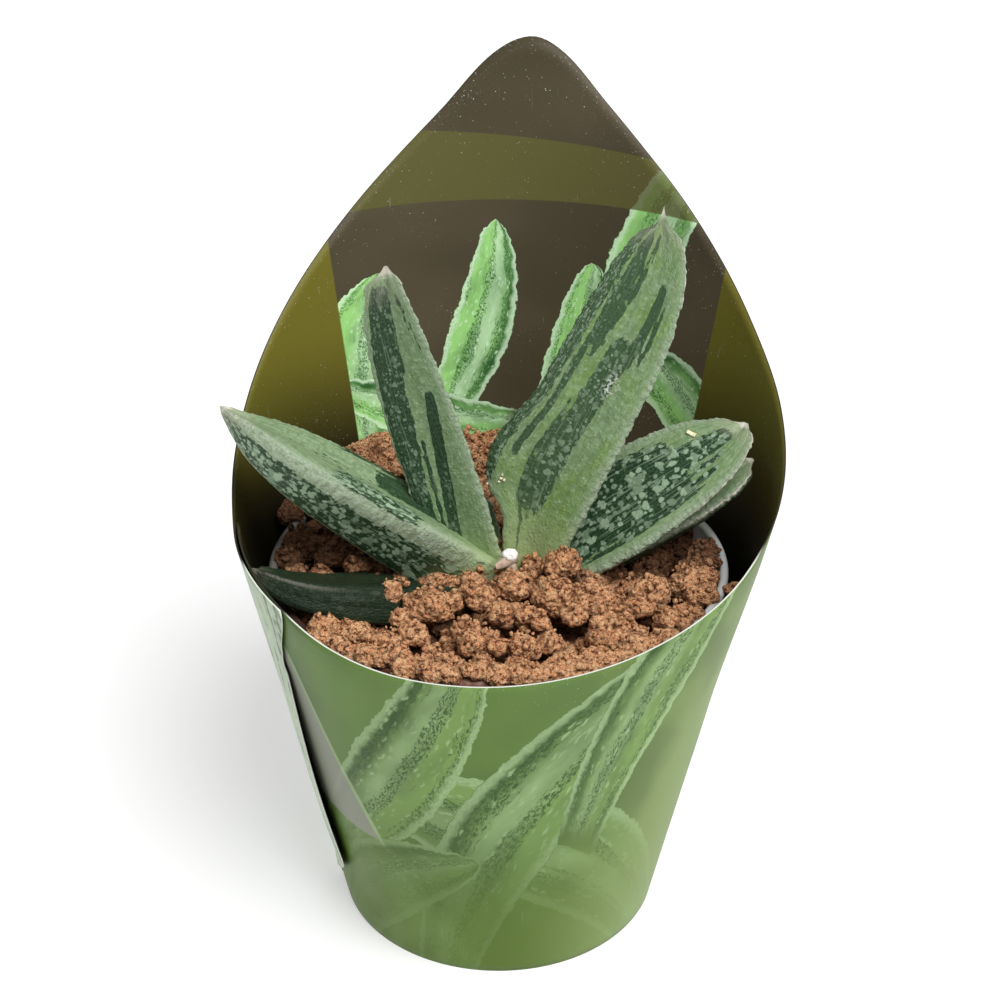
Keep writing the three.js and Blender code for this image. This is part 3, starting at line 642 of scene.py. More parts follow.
def leaf_skin():
    skin = Finish("leaf_skin")
    place = skin.map("blade")
    dark, spotted, margin, along, warm, light, fade, fine = (
        skin.attribute(name)
        for name in ("dark", "spotted", "margin", "along", "warm", "light", "fade", "fine"))
    streaks = skin.grained(place, 1.3, 0.12, 4, 0.6)
    grain = skin.grained(place, 2.2, 1.5, 4, 0.7)
    broad = skin.grained(place, 0.16, 0.07, 3, 0.55)
    beads = skin.grained(place, 0.8, 0.5, 2, 0.5)
    wandering = skin.warp(place, 0.9, 0.45, 2)
    blots = skin.grained(place, 0.95, 0.7, 1, 0.5)
    ragged = dark + 0.75 * (streaks - 0.5) + 0.9 * (beads - 0.5) + 0.2 * (grain - 0.5)
    patch = ragged.rising(0.42, 0.54)

    def spots_of(wide, long, least, most, shift):
        moved = skin.vector("ADD", wandering, (shift, 2 * shift, 0))
        cell = skin.cells(skin.stretch(moved, 1 / wide, 1 / long, 0))
        size, chance, strength = skin.axes(cell.other(1))
        kept = (spotted - chance).rising(-0.03, 0.03)
        edge = least + size * (most - least) - cell + (2 * light - 0.5) * (blots - 0.5)
        spot = (edge + 0.12 * (grain - 0.5)).rising(-0.09, 0.09)
        return spot * kept * (0.5 + 0.5 * strength)

    broad_spots = spots_of(2.1, 2.5, 0.26, 0.56, 3.0).most(spots_of(1.2, 1.5, 0.24, 0.5, 17.0))
    fine_spots = spots_of(0.95, 1.9, 0.24, 0.52, 11.0).most(spots_of(0.7, 0.9, 0.22, 0.46, 5.0))
    spots = broad_spots + fine * (fine_spots - broad_spots)
    scratches = skin.grained(place, 3.2, 0.06, 2, 0.5).rising(0.56, 0.66)
    spots = spots.most(scratches * 0.5)
    wart = skin.cells(skin.stretch(place, 1.5, 1.1, 0)).falling(0.12, 0.5)
    dots = skin.cells(skin.stretch(place, 0.75, 0.6, 0)).falling(0.05, 0.12)
    dots = dots * (0.2 + 0.8 * margin)
    wrinkles = skin.grained(place, 0.4, 1.3, 2, 0.5)

    pale = skin.layered(
        skin.mix(light, LEAF_MID, LEAF_LIGHT),
        (broad.rising(0.35, 0.65) * warm * (1 - margin), LEAF_WARM),
        (blots.rising(0.5, 0.62) * 0.4, LEAF_SPOT),
        (blots.falling(0.38, 0.5) * 0.4, LEAF_MID),
    )
    ground = skin.mix(0.6, pale, LEAF_MID)
    pale = skin.mix((wart * 0.5 + grain * 1.2 - 0.25).least(1), ground, pale)
    lines = streaks.rising(0.5, 0.62).most(beads.falling(0.36, 0.48) * 0.8) * (1 - margin)
    pale = skin.layered(
        pale,
        (lines * 0.55, LEAF_MID),
        (margin * (0.44 + 0.12 * light) * (0.5 + beads), LEAF_MARGIN),
        # painted shade: the margins are darker in the troughs of their wrinkles
        (wrinkles.falling(0.36, 0.52) * margin * 0.45, ground),
        (beads.falling(0.38, 0.5) * margin * 0.35, ground),
    )
    deep = skin.mix(grain.rising(0.4, 0.65), LEAF_DEEP, LEAF_DARK)
    spot_strength = (0.15 + 0.75 * spotted) * (1 - 0.42 * fine)
    rooted = along.falling(0.06, 0.26) * (0.65 + 0.3 * warm) * (1 - 0.55 * patch)
    tip_lines = (0.2 + 0.7 * streaks.rising(0.4, 0.65)) * light.most(0.4)
    hard = (along.rising(0.965, 0.985) * 0.8).most(skin.attribute("edge") * 0.8)
    # a whitish patch, broken up by the grain, on the tall right leaf's upper face
    pale_patch = skin.attribute("pale_patch") * grain.rising(0.48, 0.6)
    base = skin.layered(
        skin.mix(patch, pale, skin.mix(fade, deep, LEAF_MID)),
        (spots * patch * spot_strength, LEAF_SPOT),
        (dots * 0.4, LEAF_POINT),
        (rooted, LEAF_ROOT),
        (along.rising(0.86, 0.985) * tip_lines, LEAF_TIP),
        (hard, LEAF_POINT),
        (light.falling(0.1, 0.3) * 0.62, LEAF_SHADE),
        (pale_patch * 0.8, CARD_WHITE),
    )

    raised = dots * 0.5 + spots * patch * 0.4 + wart * 0.3 + wrinkles * margin * 2.2
    normal = skin.bump(raised + grain * 0.4, 0.00035, 0.8)
    roughness = 0.42 + 0.18 * grain + 0.12 * margin
    return skin.surface(Base_Color=base, Roughness=roughness, Normal=normal,
                        Specular_IOR_Level=0.28, Coat_Weight=0.05 * (1 - margin),
                        Coat_Roughness=0.35)


# ---- sleeve


def edge_height(degrees):
    """Height of the sleeve's edge, on a smooth curve through its points."""
    angles, heights = np.array(SLEEVE_EDGE).T
    slopes = np.empty(len(angles))
    slopes[1:-1] = (heights[2:] - heights[:-2]) / (angles[2:] - angles[:-2])
    slopes[0] = (heights[1] - heights[0]) / (angles[1] - angles[0])
    slopes[-1] = (heights[-1] - heights[-2]) / (angles[-1] - angles[-2])
    i = np.clip(np.searchsorted(angles, degrees) - 1, 0, len(angles) - 2)
    span = angles[i + 1] - angles[i]
    t = np.clip((degrees - angles[i]) / span, 0, 1)
    rise = (heights[i + 1] - heights[i]) * t * t * (3 - 2 * t)
    return heights[i] + rise + span * t * (1 - t) * (slopes[i] * (1 - t) - slopes[i + 1] * t)


def sleeve_radius(degrees, height, share):
    """Radius of the sheet's outer face."""
    lap_start, lap_end = SLEEVE_START + 360, SLEEVE_END - 360
    free = smoothstep(LAP_LOW, LAP_HIGH, height)
    over = smoothstep(lap_start - LAP_RAMP, lap_start, degrees) * (1 - free)
    under = (1 - smoothstep(lap_end, lap_end + LAP_RAMP, degrees)) * free
    lap = LAP * (over - under)
    below_notch = np.sin(np.pi * np.clip(share / NOTCH_SHARE, 0, 1))
    flap = FLAP_STAND * below_notch * smoothstep(SLEEVE_END - FLAP_ANGLE, SLEEVE_END, degrees)
    aside = (degrees - SWELL_ANGLE) / SWELL_SPREAD
    swell = np.exp(-aside * aside) * slope(height, *SWELL_SLOPE)
    return SLEEVE_FOOT_RADIUS + SLEEVE_TAPER * height + lap + flap + swell


def sheet_place(across, share):
    """Degrees round from the front and height of a point of the sheet."""
    plain = SLEEVE_START + (SLEEVE_END - SLEEVE_START) * across
    tab = TAB_ANGLE * smoothstep(NOTCH_SHARE, 1, share)
    tab -= NOTCH_ANGLE * (1 - smoothstep(0, NOTCH_SPREAD, abs(share - NOTCH_SHARE)))
    cut = CORNER_ANGLE * (1 - smoothstep(0, CORNER_SHARE, share))
    to_end = np.clip((plain - SLEEVE_END) / CORNER_SPREAD + 1, 0, 1)
    tabbed = plain + tab * smoothstep(SLEEVE_END - 2 * TAB_ANGLE, SLEEVE_END, plain)
    degrees = tabbed - cut * to_end
    return degrees, share * edge_height(degrees)


CARD_SHOWN = 0.34
PRINT_RADIUS = 60  # millimetres of print for a radian round


def make_sleeve(outside, inside, edge):
    mesh = grid_sheet("sleeve", 360, 48, "print")
    flat = corners_of(mesh)
    share = flat[:, 1] + 0.5
    store(mesh, "share", share)
    degrees, height = sheet_place(flat[:, 0] + 0.5, share)
    radius = sleeve_radius(degrees, height, share)
    angle = np.radians(degrees)
    corners = np.stack([radius * np.sin(angle), -radius * np.cos(angle), height], 1)
    wavy = 0.12 * rough(corners, 22, 3) * smoothstep(0, 30, height)
    corners[:, 0] += wavy * np.sin(angle)
    corners[:, 1] -= wavy * np.cos(angle)
    set_corners(mesh, corners * MM)

    def in_print(across, along):
        round_to, high = sheet_place(across, along)
        return np.radians(round_to) * PRINT_RADIUS, high

    remap(mesh, in_print)
    piece = new_piece("sleeve_card", mesh, [outside, inside, edge], "sleeve")
    wall = piece.modifiers.new("card", "SOLIDIFY")
    wall.thickness = CARD_SHOWN * MM
    wall.offset = -1
    wall.use_rim = True
    wall.use_even_offset = True
    wall.material_offset = 1
    wall.material_offset_rim = 2
    return piece


def printed_blade(x, y, root, tip, half_width, bow):
    """Mask, share of the half width and share of the length of a flat leaf shape."""
    run = Vector(tip) - Vector(root)
    length = run.length
    run /= length
    right, up = x - root[0], y - root[1]
    along = (right * run.x + up * run.y) / length
    across = right * run.y - up * run.x + bow * 4 * along * (1 - along)
    safe = along.most(0).least(1)
    half = half_width * ((1 - safe**3.5) ** 0.55) * (0.55 + 0.45 * (safe * 1.9).least(1))
    share = across / half.most(0.05)
    mask = abs(share).falling(0.97, 1.0) * along.window(0, 1, 0.002)
    return mask, share, along


def with_leaves(ink, place, under, shapes, pale, dark, fleck, strength):
    """Paints striped and freckled leaf shapes with light edges over what is under them."""
    x, y, _ = ink.axes(ink.warp(place, 2.4, 0.35, 4))
    cover = side = run = which = 0.0
    for index, shape in enumerate(shapes):
        mask, share, along = printed_blade(x, y, *shape)
        side = side + mask * (share - side)
        run = run + mask * (along - run)
        which = which + mask * (index + 1 - which)
        cover = mask.most(cover)
    own = ink.point(side * 9 + which * 23, run * 60)
    streaks = ink.grained(own, 0.9, 0.08, 5, 0.65)
    freckles = ink.cells(ink.stretch(own, 1.0, 0.6, 0)).falling(0.2, 0.45)
    soft = ink.grained(own, 0.2, 0.1, 2, 0.5)
    speckle = ink.grained(own, 2.6, 1.6, 3, 0.7)
    stripes = (side * 8 + streaks * 9 + which).sine().rising(0.1, 0.8)
    body = ink.layered(
        ink.mix((side * 0.5 + soft * 1.6 - 0.15).least(1).most(0), dark, pale),
        (abs(side + 0.15).falling(0.05, 0.5) * soft * 0.9, fleck),
        (stripes * speckle.falling(0.44, 0.56) * 0.9, dark),
        (freckles * streaks.rising(0.45, 0.6) * 0.7, fleck),
        (abs(side).rising(0.74, 0.9) * (0.4 + 0.6 * speckle), fleck),
    )
    return ink.mix(cover * strength * run.rising(0, 0.12), under, body)


def printed_card(ink, place, base, wear):
    """The printed face's gloss, dust, rubbed specks and worn edge."""
    specks = ink.cells(ink.stretch(place, 0.8, 0.8, 0)).falling(0.04, 0.12)
    rubbed = ink.grained(place, 0.07, 0.06, 4, 0.6).rising(0.47, 0.64)
    hairlines = ink.grained(ink.warp(place, 4, 0.05), 1.6, 0.07, 2, 0.5)
    fibre = ink.grained(place, 2.2, 2.2, 4, 0.7)
    border = ink.attribute("share").rising(0.965, 1.0)
    dusty = rubbed * 0.7 + ink.attribute("share").rising(0.84, 1.0) * 0.6
    marks = specks * dusty + fibre.rising(0.6, 0.72) * (rubbed * 0.3 + border * 0.8)
    marks = (marks + hairlines.rising(0.71, 0.78) * rubbed * 0.3).least(1)
    base = ink.mix(marks * wear, base, CARD_WHITE)
    normal = ink.bump(fibre * 0.4 + marks * 0.3, 0.00008, 0.5)
    roughness = 0.38 + 0.14 * fibre + 0.3 * marks
    return ink.surface(Base_Color=base, Roughness=roughness, Normal=normal,
                       Specular_IOR_Level=0.16)


BACK = math.radians(172.5) * PRINT_RADIUS
SIDE_ZONE = 46.7
BAND_LOW = 152
BAND_HIGH = 166.7
BAND_TILT = 0.1
INSIDE_LEAVES = (
    ((BACK - 22, 96), (BACK - 40, 176), 9, -6),
    ((BACK + 30, 90), (BACK + 8, 147), 8, 6),
    ((BACK - 2, 88), (BACK - 14, 138), 8, 3),
    ((BACK + 44, 92), (BACK + 36, 136), 12, -4),
    ((BACK - 58, 92), (BACK - 22, 118), 9, 5),
    ((BACK + 2, 96), (BACK + 52, 112), 7, -4),
)
REPEAT_HALF, REPEAT_LIFT = 80, 52
GREY_PATCH = 38, 84
INSIDE_WEAR, OUTSIDE_WEAR = 0.7, 0.4
OUTSIDE_LEAVES = (
    ((64, -6), (-44, 58), 19, -16),
    ((-26, -24), (46, 98), 16, 12),
    ((-70, 22), (-4, 106), 14, -10),
    ((22, 40), (66, 124), 12, 7),
    ((-72, -12), (-6, 38), 14, 9),
)


def inside_print():
    ink = Finish("sleeve_print_inside")
    place = ink.map("print")
    x, y, _ = ink.axes(place)
    tone = ink.grained(place, 0.02, 0.03, 2, 0.5)
    base = ink.mix(tone.rising(0.3, 0.7), PRINT_BROWN, PRINT_BROWN_DIM)
    base = with_leaves(ink, place, base, INSIDE_LEAVES, PRINT_LEAF, PRINT_LEAF_DARK,
                       PRINT_LEAF_PALE, 1.0)
    high = BAND_HIGH + BAND_TILT * (x - BACK)
    band = y.rising(BAND_LOW - 0.15, BAND_LOW + 0.15) * (y - high).falling(-0.15, 0.15)
    # painted shade: the olive side zones darken towards the bottom, deep inside the sleeve
    olive = ink.mix(y.rising(90, 128), PRINT_OLIVE_SHADED, PRINT_OLIVE)
    aside = abs(x - BACK).rising(SIDE_ZONE - 0.2, SIDE_ZONE + 0.2)
    base = ink.layered(base, (band * 0.86, PRINT_BAND), (aside, olive))
    return printed_card(ink, place, base, INSIDE_WEAR)


def outside_print():
    ink = Finish("sleeve_print_outside")
    place = ink.map("print")
    x, y, _ = ink.axes(place)
    tone = ink.grained(place, 0.03, 0.03, 2, 0.5)
    sweep = (0.06 * x - 0.05 * y + 7 * tone).sine().rising(-0.8, 0.9)
    base = ink.layered(
        ink.mix(y.rising(15, 75), OUTSIDE_LOW, OUTSIDE_HIGH),
        # lighter towards the right: partly the print's paler right side, partly painted light
        # from the lamp's side
        (x.rising(0, 60), OUTSIDE_RIGHT_PALE_AND_LIT),
        (sweep * y.rising(5, 60) * 0.45, OUTSIDE_LEAF_DARK),
        (tone.rising(0.45, 0.7) * 0.3, OUTSIDE_LEAF),
    )
    strength = 0.12 + 0.78 * y.rising(18, 66)
    behind = x.rising(REPEAT_HALF, REPEAT_HALF + 0.01)
    again = ink.point((x + REPEAT_HALF).wrapped(2 * REPEAT_HALF) - REPEAT_HALF,
                      y - behind * REPEAT_LIFT)
    base = with_leaves(ink, again, base, OUTSIDE_LEAVES, OUTSIDE_LEAF, OUTSIDE_LEAF_DARK,
                       OUTSIDE_FLECK, strength)
    slant = x + 0.5 * y + 2.4 * tone
    grey = slant.falling(-17, -16.4) * y.window(*GREY_PATCH, 0.4)
    flap = x.rising(250, 275)
    streaks = ink.grained(ink.warp(place, 3, 0.1), 0.5, 0.03, 4, 0.6)
    base = ink.layered(
        base,
        (grey * 0.85, OUTSIDE_GREY),
        (abs(slant + 16).falling(0.4, 1.2) * y.window(*GREY_PATCH, 3) * 0.6, OUTSIDE_FLECK),
        (flap * (0.6 + 0.4 * tone), OUTSIDE_MINT),
        (flap * streaks.rising(0.54, 0.62) * 0.6, OUTSIDE_LEAF_DARK),
    )
    return printed_card(ink, place, base, OUTSIDE_WEAR)


def cut_edge():
    """The card's cut edge, white in front and darkened with painted shade behind."""
    card = Finish("sleeve_cut_edge")
    fibre = card.noise(card.place(), 1400, 3, 0.6)
    base = card.mix(fibre, CARD_GREY, CARD_WHITE)
    round_back, _, _ = card.axes(card.map("print"))
    # painted shade: the edge is dark over the back and at the far left, where it is seen in shade
    shaded_back = round_back.window(67, 306, 3).most(round_back.falling(-54, -50))
    base = card.mix(shaded_back, base, CARD_EDGE_SHADE)
    return card.surface(Base_Color=base, Roughness=0.85, Normal=card.bump(fibre, 0.0001, 0.4))


# ---- pot


def pot_radius(height):
    return POT_FOOT_RADIUS + POT_TAPER * height


def make_pot(plastic):
    collar = POT_HEIGHT - POT_COLLAR_HEIGHT
    bead = POT_RIM_WIDTH / 2
    turns = [math.radians(degrees) for degrees in range(-30, 211, 20)]
    rim = [(POT_RIM_RADIUS - bead + bead * math.cos(turn),
            POT_HEIGHT - bead + bead * math.sin(turn)) for turn in turns]
    profile = [
        (0, 0), (20, 0), (POT_FOOT_RADIUS - 1, 0), (POT_FOOT_RADIUS, 0.8),
        (pot_radius(30), 30), (pot_radius(60), 60), (pot_radius(collar - 0.4), collar - 0.4),
        (pot_radius(collar) + POT_COLLAR_STEP, collar + 0.2),
        (POT_RIM_RADIUS - 1.2, POT_HEIGHT - 3 * bead), *rim,
        (pot_radius(collar) - POT_WALL + 0.6, collar + 1),
        (pot_radius(collar - 2) - POT_WALL, collar - 2), (pot_radius(40) - POT_WALL, 40),
        (pot_radius(2) - POT_WALL, 2), (pot_radius(1) - POT_WALL - 0.8, POT_WALL),
        (20, POT_WALL), (0, POT_WALL),
    ]
    pot = turned(profile, POT_STEPS, MM)
    piece = new_piece("nursery_pot_moulding", pot, [plastic], "nursery_pot")

    drills = bmesh.new()
    for hole in range(DRAIN_HOLES):
        angle = (hole + 0.5) / DRAIN_HOLES * math.tau
        at = Vector((math.cos(angle), math.sin(angle), 0)) * DRAIN_HOLE_CIRCLE * MM
        bmesh.ops.create_cone(drills, cap_ends=True, segments=32, radius1=DRAIN_HOLE_RADIUS * MM,
                              radius2=DRAIN_HOLE_RADIUS * MM, depth=8 * MM,
                              matrix=Matrix.Translation(at))
    drill = in_scene("drills", mesh_of("drills", drills))
    cut = piece.modifiers.new("holes", "BOOLEAN")
    cut.operation = "DIFFERENCE"
    cut.solver = "EXACT"
    cut.object = drill
    bake_modifiers(piece)
    bpy.data.objects.remove(drill)
    return piece


def bake_modifiers(piece):
    """Applies a piece's modifiers to its mesh."""
    graph = bpy.context.evaluated_depsgraph_get()
    shaped = bpy.data.meshes.new_from_object(piece.evaluated_get(graph))
    piece.modifiers.clear()
    piece.data = shaped


def pot_plastic():
    plastic = Finish("pot_plastic")
    place = plastic.place()
    cloudy = plastic.noise(place, 90, 3, 0.6)
    fine = plastic.noise(place, 900, 3, 0.6)
    x, y, z = plastic.axes(place)
    dirt = plastic.noise(place, 260, 5, 0.7).rising(0.56, 0.72) * z.rising(0.08, 0.09)
    rim = z.rising(0.078, 0.085)
    # Painted shade on the rim's left, where the sleeve and the low leaves shade it: greyer all
    # along the left, darkest at the front left.
    left_rim_shade = x.falling(-0.036, -0.026) * rim * (0.6 + 0.5 * cloudy)
    dusted = y.falling(-0.046, -0.04) * rim * (0.5 + 0.8 * fine)
    shaded = x.falling(-0.03, -0.024) * y.falling(-0.026, -0.018) * rim
    base = plastic.layered(
        plastic.mix(cloudy, POT_CLOUD, POT_CLEAR),
        (dirt * 0.6, SOIL_DEEP),
        (left_rim_shade, POT_RIM_SHADE),
        (dusted.least(1), SOIL_DEEP),
        (shaded * 0.92, SOIL_PIT_AND_SHADE),
    )
    return plastic.surface(Base_Color=base, Roughness=0.32 + 0.15 * fine,
                           Normal=plastic.bump(fine, 0.00008, 0.3))


# ---- growing medium


def soil_height(x, y):
    out = np.hypot(x - STEM_AT[0], y - STEM_AT[1]) / SOIL_CROWN_SPREAD
    crown = SOIL_CROWN * np.exp(-out * out)
    back, front = slope(y, *SOIL_BACK), slope(-np.asarray(y, float), *SOIL_FRONT)
    return SOIL_LEVEL + crown + back + front - slope(x, *SOIL_RIGHT)


# The lumps that show in front and at the left: across, back, top and radius.
FRONT_LUMPS = (
    (-37, -33, 93.5, 3.4), (-31, -34, 92.7, 2.8), (-23, -21, 95.5, 3.3), (-15, -26, 96.1, 4.7),
    (-10, -26, 95.4, 3), (-5, -38, 94.5, 4.4), (0, -31, 95.8, 3), (6, -31, 95.1, 2.6),
    (3, -20, 97, 4.4), (14, -13, 98.4, 4.2), (12, -24, 97.4, 4.3), (5, -41, 94.1, 3.5),
    (20, -26, 97.3, 5.2), (24, -35, 95.9, 5.3), (33, -22, 96, 4.4), (30, -28, 95.4, 3),
    (42, -13, 94.1, 4.7), (47, 1, 93.1, 3.5), (41, -26, 93, 3.3), (-24, -39, 94, 4.4),
    (-18, -36, 93.8, 3), (-10, -50, 92.9, 3.1), (-3, -48, 92.8, 2.9), (-15, -48, 92.7, 2.7),
    (4, -50, 93.1, 3.5), (10, -50, 92.8, 2.9), (15, -48, 92.9, 3.1), (11, -40, 93.8, 2.9),
    (29, -40, 93.6, 3.6), (36, -30, 93.9, 3), (-27, -45, 92.6, 2.5), (-21, -31, 94.1, 2.3),
    (-20, -47, 92.6, 2.5), (-32, -42, 92.3, 1.7), (19, -45, 93.2, 2.7), (9, -34, 94.5, 2.3),
    (23, -45, 93, 2.3), (34, -37, 92.6, 2.5), (16, -31, 95.3, 3), (0, -41, 93.5, 2.3),
    (-4, -24, 95.6, 3.4), (44, -6, 93.2, 3.6), (46, -18, 92.8, 3.2), (52, -14.6, 91.4, 2.1),
    (13, -45, 92.4, 2.1), (-46, 7, 93.1, 4.7), (-37, 1, 93.5, 4.4), (-32, -6, 93.3, 2.9),
    (-50, 20, 93.6, 3.6), (-43, 23, 94, 4.4), (-35, 15, 93.9, 4.3), (-6, -20, 95.2, 2.8),
    (46, -11, 93.6, 3.5), (44.5, -19, 93.2, 3.3), (48, -4, 92.8, 2.6), (39, -31, 92.8, 2.4),
    (-29, 41, 101.4, 6.5), (-36, 35, 100.9, 5.5), (-22, 42, 101.4, 5.5), (-32, 31, 99.4, 4.6),
    (-9, 44, 101, 6), (-1, 43, 100.8, 5.5), (-15, 45, 100.4, 5), (9, 44, 99.4, 5.5),
    (-24, 34, 99, 4.2), (-4, 36, 98.4, 4.2), (-48, -1, 92.4, 3), (-46, -8, 91.8, 2.8),
    (-40, -9, 91.8, 3.2), (49, -25, 91.5, 2.1),
)
FRONT_ROW = 26
BACK_LUMPS, BACK_REACH = 120, 49
FILLING_LUMPS, FILLING_REACH = 170, 48
WEDGED_LUMPS, WEDGED_REACH = 260, 50
RIM_TURN, RIM_STEP, RIM_OUT, RIM_SIZE, RIM_TOP = 46, 2.6, (50.4, 52.2), (1.5, 3.2), 92.4
LEAF_HOLLOW = (-50, -27, 12)
GOLDEN_ANGLE = math.pi * (3 - math.sqrt(5))
FINE_LUMP, COARSE_LUMP, SMALL_LUMP = 5, 4, 3
FINE_FROM = 3.05
LUMP_SHAPES = 12
CLOD_FACETS, CLOD_SHARP = 9, 10
LUMP_CLEAR = 1.6
GRAIN_AT, GRAIN_CLEAR = (2.6, -11.4, 96.15), 6
GRIT_AT = (
    (0.6, -0.4, 109.65), (0.9, -0.28, 110.5), (0.1, -0.43, 108.8), (-2.5, 0.68, 107.8),
    (1.3, -0.6, 109.3),
)
HUSK_AT, HUSK_UP, HUSK_ALONG = (43.6, 7.1, 117.15), (-0.27, -0.54, 0.8), (0.77, -0.6, -0.17)
CRUMBS, CRUMB_REACH = 3000, 51
MAP_REACH, MAP_STEP, MAP_EVENED = 58, 0.8, 7
BED_DROP = 1.4
BED_GAP = 0.4
BED_SHOULDER, BED_TOP, BED_WIDTH = 80, 84, 49
BED_STEPS = 120


def spread(count, radius, draw, scatter):
    """Points spread evenly over a disc, each moved a little."""
    for i in range(count):
        angle = i * GOLDEN_ANGLE
        out = radius * math.sqrt((i + 0.5) / count)
        yield (out * math.cos(angle) + draw.uniform(-scatter, scatter),
               out * math.sin(angle) + draw.uniform(-scatter, scatter))


def under_leaf(x, y):
    return math.dist((x, y), LEAF_HOLLOW[:2]) < LEAF_HOLLOW[2]


def lump_list():
    """Every lump as (across, back, top, radius, detail), and those that lie between them."""
    draw = random.Random(8)
    lumps = [(*lump, FINE_LUMP if lump[3] > FINE_FROM else COARSE_LUMP) for lump in FRONT_LUMPS]
    for x, y in spread(BACK_LUMPS, BACK_REACH, draw, 0.8):
        radius = 3.2 + 2.2 * draw.random() ** 1.6
        near = min(math.dist((x, y), lump[:2]) - lump[3] for lump in FRONT_LUMPS)
        if near < 0.6 * radius or under_leaf(x, y):
            continue
        top = float(soil_height(x, y)) + 0.3 * radius + draw.uniform(-0.9, 0.9)
        showing = 30 < y < 45 and -32 < x < 14
        lumps.append((x, y, top, radius, FINE_LUMP if showing else COARSE_LUMP))
    for x, y in spread(FILLING_LUMPS, FILLING_REACH, draw, 1.5):
        if under_leaf(x, y):
            continue
        radius = draw.uniform(1.7, 3.2)
        top = float(soil_height(x, y)) - 0.2 + draw.uniform(-0.9, 0.9)
        lumps.append((x, y, top, radius, COARSE_LUMP if y < -12 else SMALL_LUMP))
    _, even = height_map(lumps)
    loose = list(rim_lumps(draw))
    for x, y in spread(WEDGED_LUMPS, WEDGED_REACH, draw, 1.5):
        by_leaf = x < -8 and y > -30
        if y > -7 or by_leaf or math.dist((x, y), GRAIN_AT[:2]) < GRAIN_CLEAR:
            continue
        top = float(on_map(even, x, y)) + draw.uniform(-0.6, 0.8)
        loose.append((x, y, top, draw.uniform(1.1, 2.3), SMALL_LUMP))
    return lumps, loose


def rim_lumps(draw):
    """The crumbs that lie over the rim in front and hide it."""
    for turn in np.arange(-RIM_TURN, RIM_TURN, RIM_STEP):
        angle = math.radians(turn + draw.uniform(-0.8, 0.8))
        out = draw.uniform(*RIM_OUT)
        radius = draw.uniform(*RIM_SIZE)
        top = RIM_TOP + draw.uniform(-0.8, 0.9)
        yield out * math.sin(angle), -out * math.cos(angle), top, radius, COARSE_LUMP


def ball_mesh(detail):
    """A ball one unit in radius, as a mesh to take copies of."""
    ball = bmesh.new()
    bmesh.ops.create_icosphere(ball, subdivisions=detail, radius=1)
    return mesh_of("ball", ball)


def lump_shape(ball, seed):
    """The ball's corners moved into a crumbly lump."""
    shift = Vector((seed * 3.1, seed * 1.7, seed * 0.9))
    shape = corners_of(ball)
    draw = random.Random(40 + seed)
    facets = [Vector([draw.gauss(0, 1) for _ in range(3)]).normalized() / draw.uniform(0.72, 1)
              for _ in range(CLOD_FACETS)]
    for index, way in enumerate(shape):
        way = Vector(way)
        at = way + shift
        reach = sum(max(way.dot(facet), 0) ** CLOD_SHARP for facet in facets)
        size = (1 + reach) ** (-1 / CLOD_SHARP)
        size += 0.08 + 0.16 * noise.noise(way * 1.1 + shift) + 0.12 * noise.noise(at * 2.3)
        size -= 0.17 * abs(noise.noise(at * 3.6)) + 0.1 * abs(noise.noise(at * 7.1))
        shape[index] = way * (size + 0.07 * noise.fractal(at * 9, 0.5, 2.1, 3))
    return shape


def add_ball(target, ball, corners):
    """Adds to a bmesh a copy of the ball with its corners at places in millimetres."""
    copy = ball.copy()
    set_corners(copy, corners * MM)
    target.from_mesh(copy)
    bpy.data.meshes.remove(copy)


def make_lump(target, ball, shape, lump, draw):
    x, y, top, radius, _ = lump
    turn = Matrix.Rotation(draw.uniform(0, math.tau), 3, "X")
    turn = Matrix.Rotation(draw.uniform(0, math.tau), 3, "Z") @ turn
    stretch = (draw.uniform(0.92, 1.2), draw.uniform(0.9, 1.1), draw.uniform(0.78, 0.9))
    corners = (shape @ np.array(turn)) * stretch * radius + (x, y, top - 0.95 * radius)
    room = SLEEVE_FOOT_RADIUS + SLEEVE_TAPER * corners[:, 2] - LUMP_CLEAR
    corners[:, :2] *= np.minimum(1, room / np.hypot(*corners[:, :2].T))[:, None]
    add_ball(target, ball, corners)


def height_map(lumps):
    """The height of the lumps' tops on a grid, as it is and evened out."""
    steps = np.arange(-MAP_REACH, MAP_REACH + MAP_STEP, MAP_STEP)
    x, y = np.meshgrid(steps, steps, indexing="ij")
    height = soil_height(x, y) - CREVICE_DEPTH - BED_DROP
    for lump_x, lump_y, top, radius, _ in lumps:
        out = np.minimum(np.hypot(x - lump_x, y - lump_y) / radius, 1)
        dome = top - radius * (1 - np.sqrt(1 - out * out))
        height = np.where(out < 1, np.maximum(height, dome), height)
    even = height
    for _ in range(MAP_EVENED):
        for axis in (0, 1):
            even = (np.roll(even, 1, axis) + even + np.roll(even, -1, axis)) / 3
    return height, even


def on_map(heights, x, y):
    at = [np.clip(np.rint((part + MAP_REACH) / MAP_STEP), 0, len(heights) - 1).astype(int)
          for part in (x, y)]
    return heights[at[0], at[1]]


def new_soil(name, heap, earth, even, replaced=None):
    """A piece of the medium, which stores where it gets painted shade: under the leaves at either
    side, and low down between the lumps.
    """
    mesh = mesh_of(name, heap)
    x, y, z = corners_of(mesh).T / MM
    # painted shade: darker at either side of the middle, from about 10 mm in front to about 30 mm
    # behind, where the leaves reach out over the soil
    shade_under_leaves = smoothstep(-16, -4, y) * (1 - smoothstep(24, 34, y)) * smoothstep(8, 20, abs(x))
    store(mesh, "shade_under_leaves", shade_under_leaves)
    # painted shade: darker where the surface lies below the evened-out tops of the lumps, down
    # between them
    store(mesh, "deep", smoothstep(0.4, 3.8, on_map(even, x, y) - z))
    return new_piece(name, mesh, [earth], replaced)


